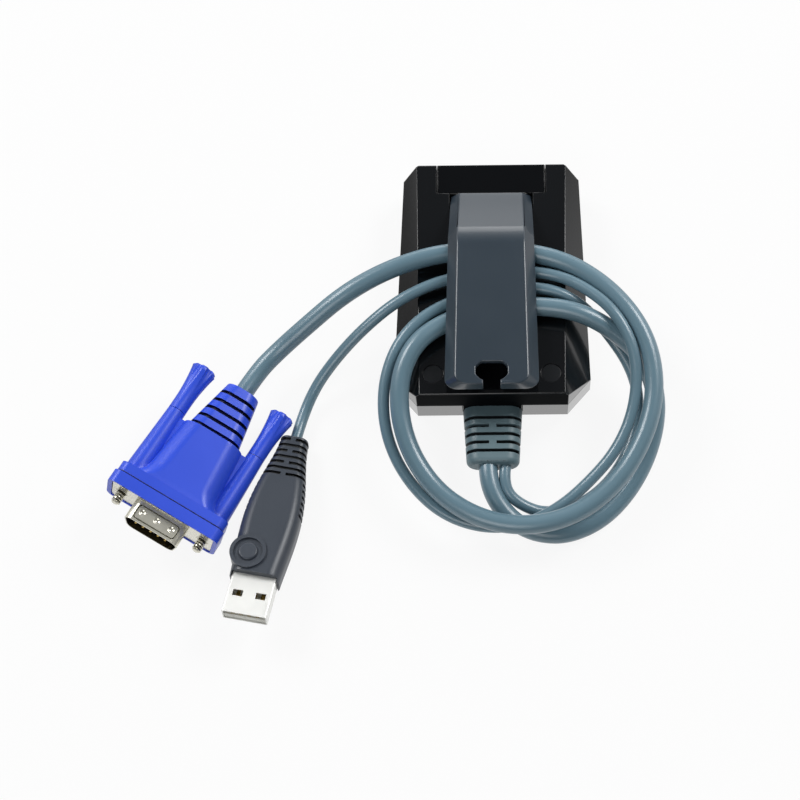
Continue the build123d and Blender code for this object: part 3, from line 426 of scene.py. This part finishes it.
# Painted shade: a dark nickel for the bead and the inside walls of the tube, for the shade in the
# groove and the hollow.
painted_shade_nickel = plated("painted_shade_nickel", linear(84, 82, 70), 0.35)
vga_shell.data.materials.append(painted_shade_nickel)
plug_home = vga_frame.inverted()
for face in vga_shell.data.polygons:
    spot = plug_home @ face.center
    outward = plug_home.to_3x3() @ face.normal
    if spot.z > plate_front and outward.xy.dot(spot.xy) < 0:
        face.material_index = 1
fit(vga_shell, "case", "vga_shell")

# Pin carrier and pins: a blue-black insulator with fifteen gold-plated pins in three rows. Each pin
# is turned from brass rod with a rounded end.
carrier_blue = moulded("carrier_blue", linear(24, 26, 34), 0.5)
gold_plate = plated("gold_plate", linear(196, 168, 100), 0.3)
vga_insulator = rounded_copy("vga_insulator", carrier_blue)
fit(vga_insulator, "case", "vga_insulator")


def node_tree(name, inputs):
    """An empty Geometry Nodes tree with named inputs, and its first and last node."""
    tree = bpy.data.node_groups.new(name, "GeometryNodeTree")
    for label, kind in inputs:
        tree.interface.new_socket(label, in_out="INPUT", socket_type=kind)
    tree.interface.new_socket("Geometry", in_out="OUTPUT", socket_type="NodeSocketGeometry")
    return tree, tree.nodes.new("NodeGroupInput"), tree.nodes.new("NodeGroupOutput")


def finish_tree(tree, start, end, geometry):
    """Realize Instances and Set Material at the end of a tree."""
    real = tree.nodes.new("GeometryNodeRealizeInstances")
    paint = tree.nodes.new("GeometryNodeSetMaterial")
    tree.links.new(geometry, real.inputs[0])
    tree.links.new(real.outputs[0], paint.inputs["Geometry"])
    tree.links.new(start.outputs["Material"], paint.inputs["Material"])
    tree.links.new(paint.outputs[0], end.inputs[0])


def grown(name, tree, values, place):
    """The plain mesh that a tree makes with these values, moved to its place."""
    merge_distance = 0.001 * mm
    sharp_angle = radians(40.0)
    base = bpy.data.objects.new(name, bpy.data.meshes.new(name))
    bpy.context.collection.objects.link(base)
    modifier = base.modifiers.new("tree", "NODES")
    modifier.node_group = tree
    for item in tree.interface.items_tree:
        if item.in_out == "INPUT":
            modifier[item.identifier] = values[item.name]
    mesh = plain_mesh(base)
    base.modifiers.clear()
    base.data = mesh
    work = bmesh.new()
    work.from_mesh(mesh)
    bmesh.ops.remove_doubles(work, verts=work.verts, dist=merge_distance)
    bmesh.ops.recalc_face_normals(work, faces=work.faces)
    work.to_mesh(mesh)
    work.free()
    mesh.transform(place)
    mesh.shade_smooth()
    mesh.set_sharp_from_angle(angle=sharp_angle)
    return base


pin_tree, start, end = node_tree(
    "pin_rows",
    [
        ("Pins", "NodeSocketInt"),
        ("Pitch", "NodeSocketFloat"),
        ("Row Pitch", "NodeSocketFloat"),
        ("Radius", "NodeSocketFloat"),
        ("Length", "NodeSocketFloat"),
        ("Material", "NodeSocketMaterial"),
    ],
)
pin_sides = 16
rows = pin_tree.nodes.new("GeometryNodeJoinGeometry")
rod = pin_tree.nodes.new("GeometryNodeMeshCylinder")
rod.inputs["Vertices"].default_value = pin_sides
cap = pin_tree.nodes.new("GeometryNodeMeshUVSphere")
cap.inputs["Segments"].default_value = pin_sides
cap.inputs["Rings"].default_value = pin_sides // 2
half_length = pin_tree.nodes.new("ShaderNodeMath")
half_length.operation = "MULTIPLY"
half_length.inputs[1].default_value = 0.5
lift = pin_tree.nodes.new("ShaderNodeCombineXYZ")
raised_rod = pin_tree.nodes.new("GeometryNodeTransform")
reach = pin_tree.nodes.new("ShaderNodeCombineXYZ")
raised_cap = pin_tree.nodes.new("GeometryNodeTransform")
pin = pin_tree.nodes.new("GeometryNodeJoinGeometry")
pin_tree.links.new(start.outputs["Radius"], rod.inputs["Radius"])
pin_tree.links.new(start.outputs["Length"], rod.inputs["Depth"])
pin_tree.links.new(start.outputs["Radius"], cap.inputs["Radius"])
pin_tree.links.new(start.outputs["Length"], half_length.inputs[0])
pin_tree.links.new(half_length.outputs[0], lift.inputs["Z"])
pin_tree.links.new(rod.outputs["Mesh"], raised_rod.inputs["Geometry"])
pin_tree.links.new(lift.outputs[0], raised_rod.inputs["Translation"])
pin_tree.links.new(start.outputs["Length"], reach.inputs["Z"])
pin_tree.links.new(cap.outputs["Mesh"], raised_cap.inputs["Geometry"])
pin_tree.links.new(reach.outputs[0], raised_cap.inputs["Translation"])
pin_tree.links.new(raised_rod.outputs[0], pin.inputs[0])
pin_tree.links.new(raised_cap.outputs[0], pin.inputs[0])
outer_row_start, middle_row_start = -2.25, -1.75
for row in (-1, 0, 1):
    row_share = pin_tree.nodes.new("ShaderNodeMath")
    row_share.operation = "MULTIPLY"
    row_share.inputs[1].default_value = row
    row_shift = pin_tree.nodes.new("ShaderNodeMath")
    row_shift.operation = "MULTIPLY"
    row_shift.inputs[1].default_value = outer_row_start if row else middle_row_start
    row_start = pin_tree.nodes.new("ShaderNodeCombineXYZ")
    row_step = pin_tree.nodes.new("ShaderNodeCombineXYZ")
    line = pin_tree.nodes.new("GeometryNodeMeshLine")
    spread = pin_tree.nodes.new("GeometryNodeInstanceOnPoints")
    pin_tree.links.new(start.outputs["Row Pitch"], row_share.inputs[0])
    pin_tree.links.new(start.outputs["Pitch"], row_shift.inputs[0])
    pin_tree.links.new(row_shift.outputs[0], row_start.inputs["X"])
    pin_tree.links.new(row_share.outputs[0], row_start.inputs["Y"])
    pin_tree.links.new(start.outputs["Pitch"], row_step.inputs["X"])
    pin_tree.links.new(start.outputs["Pins"], line.inputs["Count"])
    pin_tree.links.new(row_start.outputs[0], line.inputs["Start Location"])
    pin_tree.links.new(row_step.outputs[0], line.inputs["Offset"])
    pin_tree.links.new(line.outputs["Mesh"], spread.inputs["Points"])
    pin_tree.links.new(pin.outputs[0], spread.inputs["Instance"])
    pin_tree.links.new(spread.outputs[0], rows.inputs[0])
finish_tree(pin_tree, start, end, rows.outputs[0])
pin_radius = 0.475 * mm
pin_reach = 4.9 * mm
pin_values = {
    "Pins": 5,
    "Pitch": 2.29 * mm,
    "Row Pitch": 1.98 * mm,
    "Radius": pin_radius,
    "Length": pin_reach - pin_radius,
    "Material": gold_plate,
}
pin_place = vga_frame @ Matrix.Translation((0, 0, plate_front))
vga_pins = grown("vga_pin_rows", pin_tree, pin_values, pin_place)
fit(vga_pins, "case", "vga_pins")

# Thumbscrews: a nickel-plated steel screw through each tube, with a rolled thread and a rounded
# end, and a fluted blue knob moulded onto its rear. They turn freely in the hood.
thread_tree, start, end = node_tree(
    "rolled_thread",
    [
        ("Turns", "NodeSocketFloat"),
        ("Core Radius", "NodeSocketFloat"),
        ("Ridge", "NodeSocketFloat"),
        ("Length", "NodeSocketFloat"),
        ("Material", "NodeSocketMaterial"),
    ],
)
steps_per_turn = 28
ridge_sides = 6
helix = thread_tree.nodes.new("GeometryNodeCurveSpiral")
helix.inputs["Resolution"].default_value = steps_per_turn
ridge = thread_tree.nodes.new("GeometryNodeCurvePrimitiveCircle")
ridge.inputs["Resolution"].default_value = ridge_sides
thread = thread_tree.nodes.new("GeometryNodeCurveToMesh")
thread.inputs["Fill Caps"].default_value = True
thread_tree.links.new(start.outputs["Turns"], helix.inputs["Rotations"])
thread_tree.links.new(start.outputs["Core Radius"], helix.inputs["Start Radius"])
thread_tree.links.new(start.outputs["Core Radius"], helix.inputs["End Radius"])
thread_tree.links.new(start.outputs["Length"], helix.inputs["Height"])
thread_tree.links.new(start.outputs["Ridge"], ridge.inputs["Radius"])
thread_tree.links.new(helix.outputs[0], thread.inputs["Curve"])
thread_tree.links.new(ridge.outputs["Curve"], thread.inputs["Profile Curve"])
finish_tree(thread_tree, start, end, thread.outputs[0])

screw_half_spacing = 24.99 / 2 * mm
tube_length = 27.6 * mm
knob_gap = 0.15 * mm
knob_length = 14.4 * mm
knob_end = 1.4 * mm
screw_rear = vga_length - (tube_length + knob_gap + knob_length - knob_end)
screw_reach = 3.4 * mm
screw_tip = vga_length + screw_reach
shank_radius = 1.62 * mm
shank_chamfer = 0.15 * mm
core_radius = 1.16 * mm
thread_ridge = 0.22 * mm
thread_turns = 4.0
thread_start_gap = 0.25 * mm
thread_tip_gap = 0.5 * mm
shade_end = screw_tip - 0.6 * mm
thread_sharp_angle = radians(35.0)
tip_rounding = [(0.7 * mm, 1.0), (0.3 * mm, 0.86), (0.08 * mm, 0.56), (0.0, 0.24)]
thread_values = {
    "Turns": thread_turns,
    "Core Radius": core_radius,
    "Ridge": thread_ridge,
    "Length": screw_tip - plate_front - thread_start_gap - thread_tip_gap,
    "Material": nickel,
}


def turned(profile, place, sides=40):
    """A bar turned from a profile of distance and radius, closed at both ends."""
    work = bmesh.new()
    rings = []
    for along, radius in profile:
        ring = []
        for step in range(sides):
            angle = 2 * pi * step / sides
            spot = Vector((radius * cos(angle), radius * sin(angle), along))
            ring.append(work.verts.new(place @ spot))
        rings.append(ring)
    for one, two in zip(rings, rings[1:]):
        skin(work, one, two)
    work.faces.new(rings[0])
    work.faces.new(rings[-1])
    bmesh.ops.recalc_face_normals(work, faces=work.faces)
    return work


screw_profile = [
    (screw_rear, shank_radius),
    (plate_front - shank_chamfer, shank_radius),
    (plate_front, shank_radius - shank_chamfer),
    (plate_front, core_radius),
    *((screw_tip - back, core_radius * share) for back, share in tip_rounding),
]
thumbscrew_pieces = []
for side, name in ((-1, "left"), (1, "right")):
    axis_frame = vga_frame @ Matrix.Translation((side * screw_half_spacing, 0, 0))
    thread_start = axis_frame @ Matrix.Translation((0, 0, plate_front + thread_start_gap))
    screw = grown(name + "_screw_thread", thread_tree, thread_values, thread_start)
    bar = turned(screw_profile, axis_frame)
    to_axis = axis_frame.inverted()
    # The core between the thread turns is painted a dark nickel, a painted shade in the thread's
    # grooves; the tip stays bright.
    for face in bar.faces:
        along = (to_axis @ face.calc_center_median()).z
        face.material_index = 1 if plate_front < along < shade_end else 0
    screw.data.materials.append(painted_shade_nickel)
    bar.from_mesh(screw.data)
    bar.to_mesh(screw.data)
    bar.free()
    screw.data.shade_smooth()
    screw.data.set_sharp_from_angle(angle=thread_sharp_angle)
    knob = rounded_copy(name + "_knob", plug_blue)
    fit(knob, name + "_thumbscrew", name + "_knob")
    fit(screw, name + "_thumbscrew", name + "_screw")
    thumbscrew_pieces += [knob, screw]

# USB plug: a charcoal rubber moulding over the plug, with slotted rows where the cord comes in,
# side ridges for the fingers and a dished boss, and a folded bright-tin shell with two windows.
usb_before = (-0.0536, -0.0365, 0.0022)
usb_end = (-0.0549, -0.0433, 0.0034)
usb_roll = 0.0
usb_frame = plug_frame(usb_before, usb_end, usb_roll)
charcoal = moulded("charcoal", linear(52, 58, 67), 0.38, grain=1300.0)
# Painted shade: the walls of the slotted rows are painted near black for the shade inside the
# slots.
painted_slot_shade_black = moulded("painted_slot_shade_black", linear(14, 15, 17), 0.6)
usb_overmold = rounded_copy("usb_overmold", charcoal, edge=0.18, segments=3, clamp=True)
rows_length = 13.6 * mm
rows_root_size = (7.8 * mm, 6.4 * mm)
rows_end_size = (12.4 * mm, 7.7 * mm)
rows_corner = 0.38
slot_faces(
    usb_overmold, usb_frame, rows_length, rows_root_size, rows_end_size, rows_corner, painted_slot_shade_black
)
fit(usb_overmold, "case", "usb_overmold")
bright_tin = plated("bright_tin", linear(244, 244, 240), 0.34, metallic=0.25)
usb_shell = rounded_copy("usb_shell", bright_tin, edge=0.08, segments=2)
fit(usb_shell, "case", "usb_shell")

# USB tongue and contacts: a white carrier in the lower half of the shell, with four gold-plated
# strips pressed into its upper side.
tongue_white = moulded("tongue_white", linear(216, 216, 208), 0.45)
usb_tongue = rounded_copy("usb_tongue", tongue_white, edge=0.05)
fit(usb_tongue, "case", "usb_tongue")
strip_tree, start, end = node_tree(
    "contact_strips",
    [
        ("Strips", "NodeSocketInt"),
        ("Pitch", "NodeSocketFloat"),
        ("Size", "NodeSocketVector"),
        ("Material", "NodeSocketMaterial"),
    ],
)
first_strip = -1.5
first = strip_tree.nodes.new("ShaderNodeMath")
first.operation = "MULTIPLY"
first.inputs[1].default_value = first_strip
first_place = strip_tree.nodes.new("ShaderNodeCombineXYZ")
step_place = strip_tree.nodes.new("ShaderNodeCombineXYZ")
line = strip_tree.nodes.new("GeometryNodeMeshLine")
strip = strip_tree.nodes.new("GeometryNodeMeshCube")
spread = strip_tree.nodes.new("GeometryNodeInstanceOnPoints")
strip_tree.links.new(start.outputs["Pitch"], first.inputs[0])
strip_tree.links.new(first.outputs[0], first_place.inputs["X"])
strip_tree.links.new(start.outputs["Pitch"], step_place.inputs["X"])
strip_tree.links.new(start.outputs["Strips"], line.inputs["Count"])
strip_tree.links.new(first_place.outputs[0], line.inputs["Start Location"])
strip_tree.links.new(step_place.outputs[0], line.inputs["Offset"])
strip_tree.links.new(start.outputs["Size"], strip.inputs["Size"])
strip_tree.links.new(line.outputs["Mesh"], spread.inputs["Points"])
strip_tree.links.new(strip.outputs["Mesh"], spread.inputs["Instance"])
finish_tree(strip_tree, start, end, spread.outputs[0])
usb_body_length = 43.4 * mm
usb_shell_length = 11.4 * mm
usb_shell_height = 4.5 * mm
usb_shell_gauge = 0.35 * mm
tongue_height = 1.9 * mm
strip_width = 1.0 * mm
strip_gauge = 0.15 * mm
strip_length = 8.0 * mm
strip_setback = 0.7 * mm
strip_height = -usb_shell_height / 2 + usb_shell_gauge + tongue_height + strip_gauge / 2
strip_along = usb_body_length + usb_shell_length - strip_length / 2 - strip_setback
strip_values = {
    "Strips": 4,
    "Pitch": 2.2 * mm,
    "Size": (strip_width, strip_gauge, strip_length),
    "Material": gold_plate,
}
strip_place = usb_frame @ Matrix.Translation((0, strip_height, strip_along))
usb_contacts = grown("usb_contact_strips", strip_tree, strip_values, strip_place)
fit(usb_contacts, "case", "usb_contacts")

# Cords: extruded grey jackets, a thick one with the video conductors and a thin one for USB, wound
# about one and a half turns under the clip and held by it.
video_diameter = 0.0052
usb_diameter = 0.0032
cord_grey = moulded("cord_grey", linear(95, 122, 135), 0.3, grain=700.0, specular=0.7)
video_route = [
    (-0.0013, -0.053, 0.0074), (-0.0013, -0.057, 0.0074), (0.0012, -0.0632, 0.0058),
    (0.006, -0.0681, 0.0039), (0.0124, -0.0709, 0.003), (0.0205, -0.0711, 0.0028),
    (0.03, -0.0666, 0.0029), (0.0382, -0.0576, 0.0036), (0.044, -0.0458, 0.0054),
    (0.0458, -0.0336, 0.0085), (0.0423, -0.0237, 0.013), (0.0342, -0.0175, 0.0182),
    (0.0235, -0.0129, 0.0222), (0.0115, -0.0112, 0.022), (-0.001, -0.012, 0.0218),
    (-0.0126, -0.0156, 0.0218), (-0.0209, -0.0222, 0.0226), (-0.0251, -0.0313, 0.0206),
    (-0.0252, -0.0422, 0.0174), (-0.0216, -0.053, 0.0144), (-0.014, -0.0633, 0.0128),
    (-0.0025, -0.0703, 0.0126), (0.01, -0.0721, 0.0127), (0.022, -0.069, 0.0127),
    (0.0325, -0.061, 0.0128), (0.0401, -0.05, 0.0142), (0.0443, -0.0376, 0.0164),
    (0.0439, -0.0254, 0.0188), (0.0396, -0.0148, 0.0208), (0.0316, -0.005, 0.0216),
    (0.0209, 0.0026, 0.0216), (0.0088, 0.0059, 0.0216), (-0.004, 0.0064, 0.0216),
    (-0.0165, 0.005, 0.0216), (-0.029, 0.0007, 0.0212), (-0.0409, -0.0058, 0.0196),
    (-0.052, -0.0134, 0.0144), (-0.05995, -0.0185, 0.0095),
    video_before, video_end,
]
usb_route = [
    (0.0034, -0.053, 0.0074), (0.0029, -0.056, 0.0074), (0.004, -0.0605, 0.006),
    (0.0083, -0.0633, 0.004), (0.0135, -0.0647, 0.0025), (0.02, -0.0637, 0.0019),
    (0.0275, -0.06, 0.0018), (0.0344, -0.0528, 0.002), (0.039, -0.0432, 0.0028),
    (0.041, -0.033, 0.0056), (0.0385, -0.0241, 0.0094), (0.032, -0.0155, 0.0136),
    (0.0243, -0.0088, 0.0193), (0.015, -0.0054, 0.0215), (0.0035, -0.0054, 0.021),
    (-0.008, -0.0079, 0.021), (-0.0182, -0.013, 0.0212), (-0.0254, -0.0206, 0.0204),
    (-0.0294, -0.0302, 0.0174), (-0.0299, -0.0407, 0.0148), (-0.0272, -0.051, 0.0124),
    (-0.0212, -0.0604, 0.0102), (-0.0129, -0.0674, 0.0084), (-0.002, -0.0709, 0.0079),
    (0.009, -0.0699, 0.0082), (0.0185, -0.065, 0.0084), (0.0265, -0.058, 0.0096),
    (0.0333, -0.0507, 0.0118), (0.0379, -0.0416, 0.0142), (0.0397, -0.0316, 0.0174),
    (0.0384, -0.0225, 0.0214), (0.0338, -0.014, 0.0234), (0.0272, -0.0072, 0.0228),
    (0.019, -0.0018, 0.0216), (0.008, 0.0001, 0.021), (-0.004, -0.0005, 0.021),
    (-0.0155, -0.0032, 0.021), (-0.026, -0.0082, 0.02), (-0.0354, -0.0147, 0.0162),
    (-0.0435, -0.0211, 0.0104), (-0.0498, -0.0278, 0.005),
    usb_before, usb_end,
]


def cord(name, route, diameter):
    """A smooth round jacket on a route, from the strain relief to its plug."""
    curve = bpy.data.curves.new(name, "CURVE")
    curve.dimensions = "3D"
    spline = curve.splines.new("NURBS")
    spline.points.add(len(route) - 1)
    for point, place in zip(spline.points, route):
        point.co = (*place, 1.0)
    spline.order_u = 3
    spline.use_endpoint_u = True
    curve.resolution_u = 10
    curve.bevel_depth = diameter / 2
    curve.bevel_resolution = 8
    curve.use_fill_caps = True
    curve.materials.append(cord_grey)
    piece = bpy.data.objects.new(name, curve)
    bpy.context.collection.objects.link(piece)
    fit(piece, "case", name[: -len("_jacket")])


cord(
    "video_cable_jacket", video_route, video_diameter
)
cord("usb_cable_jacket", usb_route, usb_diameter)

# Floor: a plain sheet of white paper. The camera sees it white with a faint shadow, and polished
# surfaces mirror it, dimmer along one shaded strip behind the case.
floor_mesh = bpy.data.meshes.new("floor")
floor_half = 3.0
paper_white = 0.7
camera_glow = 0.9
shade_across = (0.45, -1.0, 0.0)
shade_offset = 0.115
shade_core = 0.035
shade_edge = 0.145
shade_level = 0.18
floor_corners = [
    (x * floor_half, y * floor_half, 0) for x, y in ((-1, -1), (1, -1), (1, 1), (-1, 1))
]
floor_mesh.from_pydata(floor_corners, [], [(0, 1, 2, 3)])
floor = bpy.data.objects.new("floor", floor_mesh)
bpy.context.collection.objects.link(floor)
white_floor = bpy.data.materials.new("white_floor")
white_floor.use_nodes = True
nodes, links = white_floor.node_tree.nodes, white_floor.node_tree.links
nodes.clear()
paper = nodes.new("ShaderNodeBsdfDiffuse")
paper.inputs["Color"].default_value = (paper_white, paper_white, paper_white, 1.0)
glow = nodes.new("ShaderNodeEmission")
glow.inputs["Color"].default_value = (1.0, 1.0, 1.0, 1.0)
path = nodes.new("ShaderNodeLightPath")
spot = nodes.new("ShaderNodeTexCoord")
across_shade = nodes.new("ShaderNodeVectorMath")
across_shade.operation = "DOT_PRODUCT"
across_shade.inputs[1].default_value = shade_across
from_middle = nodes.new("ShaderNodeMath")
from_middle.inputs[1].default_value = shade_offset
distance = nodes.new("ShaderNodeMath")
distance.operation = "ABSOLUTE"
mirror_level = nodes.new("ShaderNodeMapRange")
mirror_level.inputs["From Min"].default_value = shade_core
mirror_level.inputs["From Max"].default_value = shade_edge
mirror_level.inputs["To Min"].default_value = shade_level
mirror_level.inputs["To Max"].default_value = 1.0
glow_level = nodes.new("ShaderNodeMath")
glow_level.operation = "MAXIMUM"
links.new(spot.outputs["Object"], across_shade.inputs[0])
links.new(across_shade.outputs["Value"], from_middle.inputs[0])
links.new(from_middle.outputs[0], distance.inputs[0])
links.new(distance.outputs[0], mirror_level.inputs["Value"])
links.new(mirror_level.outputs["Result"], glow_level.inputs[0])
links.new(path.outputs["Is Camera Ray"], glow_level.inputs[1])
links.new(glow_level.outputs[0], glow.inputs["Strength"])
camera_share = nodes.new("ShaderNodeMath")
camera_share.operation = "MULTIPLY"
camera_share.inputs[1].default_value = camera_glow
mirrored = nodes.new("ShaderNodeMath")
mirrored.operation = "MAXIMUM"
seen = nodes.new("ShaderNodeMath")
seen.operation = "MAXIMUM"
mix = nodes.new("ShaderNodeMixShader")
out = nodes.new("ShaderNodeOutputMaterial")
links.new(path.outputs["Is Camera Ray"], camera_share.inputs[0])
links.new(path.outputs["Is Glossy Ray"], mirrored.inputs[0])
links.new(path.outputs["Is Transmission Ray"], mirrored.inputs[1])
links.new(camera_share.outputs[0], seen.inputs[0])
links.new(mirrored.outputs[0], seen.inputs[1])
links.new(seen.outputs[0], mix.inputs["Fac"])
links.new(paper.outputs[0], mix.inputs[1])
links.new(glow.outputs[0], mix.inputs[2])
links.new(mix.outputs[0], out.inputs["Surface"])
floor_mesh.materials.append(white_floor)

# Studio: a room that is pale at the horizon, dark overhead and brightest behind the object, with
# a white backdrop for the camera. Four square soft boxes hang round the table.
horizon = 0.1
overhead = 0.75
overhead_grey = (0.1, 0.11, 0.12, 1.0)
bright_side = (0.2, 0.98, 0.0)
dim_from = -0.2
dim_level = 0.15
bright_level = 1.5
world = bpy.data.worlds.new("studio")
bpy.context.scene.world = world
world.use_nodes = True
nodes, links = world.node_tree.nodes, world.node_tree.links
sky = nodes["Background"]
room = nodes.new("ShaderNodeTexCoord")
up = nodes.new("ShaderNodeSeparateXYZ")
ramp = nodes.new("ShaderNodeValToRGB")
ramp.color_ramp.elements[0].position = horizon
ramp.color_ramp.elements[0].color = (1.0, 1.0, 1.0, 1.0)
ramp.color_ramp.elements[1].position = overhead
ramp.color_ramp.elements[1].color = overhead_grey
links.new(room.outputs["Generated"], up.inputs[0])
links.new(up.outputs["Z"], ramp.inputs["Fac"])
links.new(ramp.outputs["Color"], sky.inputs["Color"])
facing = nodes.new("ShaderNodeVectorMath")
facing.operation = "DOT_PRODUCT"
facing.inputs[1].default_value = bright_side
level = nodes.new("ShaderNodeMapRange")
level.inputs["From Min"].default_value = dim_from
level.inputs["To Min"].default_value = dim_level
level.inputs["To Max"].default_value = bright_level
links.new(room.outputs["Generated"], facing.inputs[0])
links.new(facing.outputs["Value"], level.inputs["Value"])
links.new(level.outputs["Result"], sky.inputs["Strength"])
backdrop = nodes.new("ShaderNodeBackground")
backdrop.inputs["Color"].default_value = (1.0, 1.0, 1.0, 1.0)
view_path = nodes.new("ShaderNodeLightPath")
behind = nodes.new("ShaderNodeMixShader")
links.new(view_path.outputs["Is Camera Ray"], behind.inputs["Fac"])
links.new(sky.outputs[0], behind.inputs[1])
links.new(backdrop.outputs[0], behind.inputs[2])
links.new(behind.outputs[0], nodes["World Output"].inputs["Surface"])


def soft_box(name, place, size, power):
    """A square area lamp that faces the middle of the table."""
    lamp = bpy.data.lights.new(name, "AREA")
    lamp.size = size
    lamp.energy = power
    holder = bpy.data.objects.new(name, lamp)
    holder.location = place
    holder.rotation_euler = (-Vector(place)).to_track_quat("-Z", "Y").to_euler()
    bpy.context.collection.objects.link(holder)


soft_box("left_box", place=(-0.72, 0.45, 0.86), size=0.5, power=8.2)
soft_box("right_box", place=(0.72, 0.45, 0.86), size=0.5, power=9.2)
soft_box("front_box", place=(-0.3, -0.9, 0.9), size=0.7, power=5.0)
soft_box("back_box", place=(0.0, 1.2, 0.26), size=0.5, power=1.7)

# Camera: a long lens above the cord end, tilted 23 degrees off straight down, at the place and
# with the frame of the photograph.
camera_place = (0.0047, -0.22155, 0.45184)
camera_tilt = radians(23.0)
camera_roll = radians(-0.6)
camera_data = bpy.data.cameras.new("camera")
camera_data.lens = 78.2
camera_data.sensor_width = 36.0
camera_data.shift_x = -0.137
camera_data.shift_y = -0.0012
camera_data.clip_start = 0.01
camera = bpy.data.objects.new("camera", camera_data)
camera_turn = Matrix.Rotation(camera_tilt, 4, "X") @ Matrix.Rotation(camera_roll, 4, "Z")
camera.matrix_world = Matrix.Translation(camera_place) @ camera_turn
bpy.context.collection.objects.link(camera)
bpy.context.scene.camera = camera
bpy.context.scene.view_settings.view_transform = "Standard"
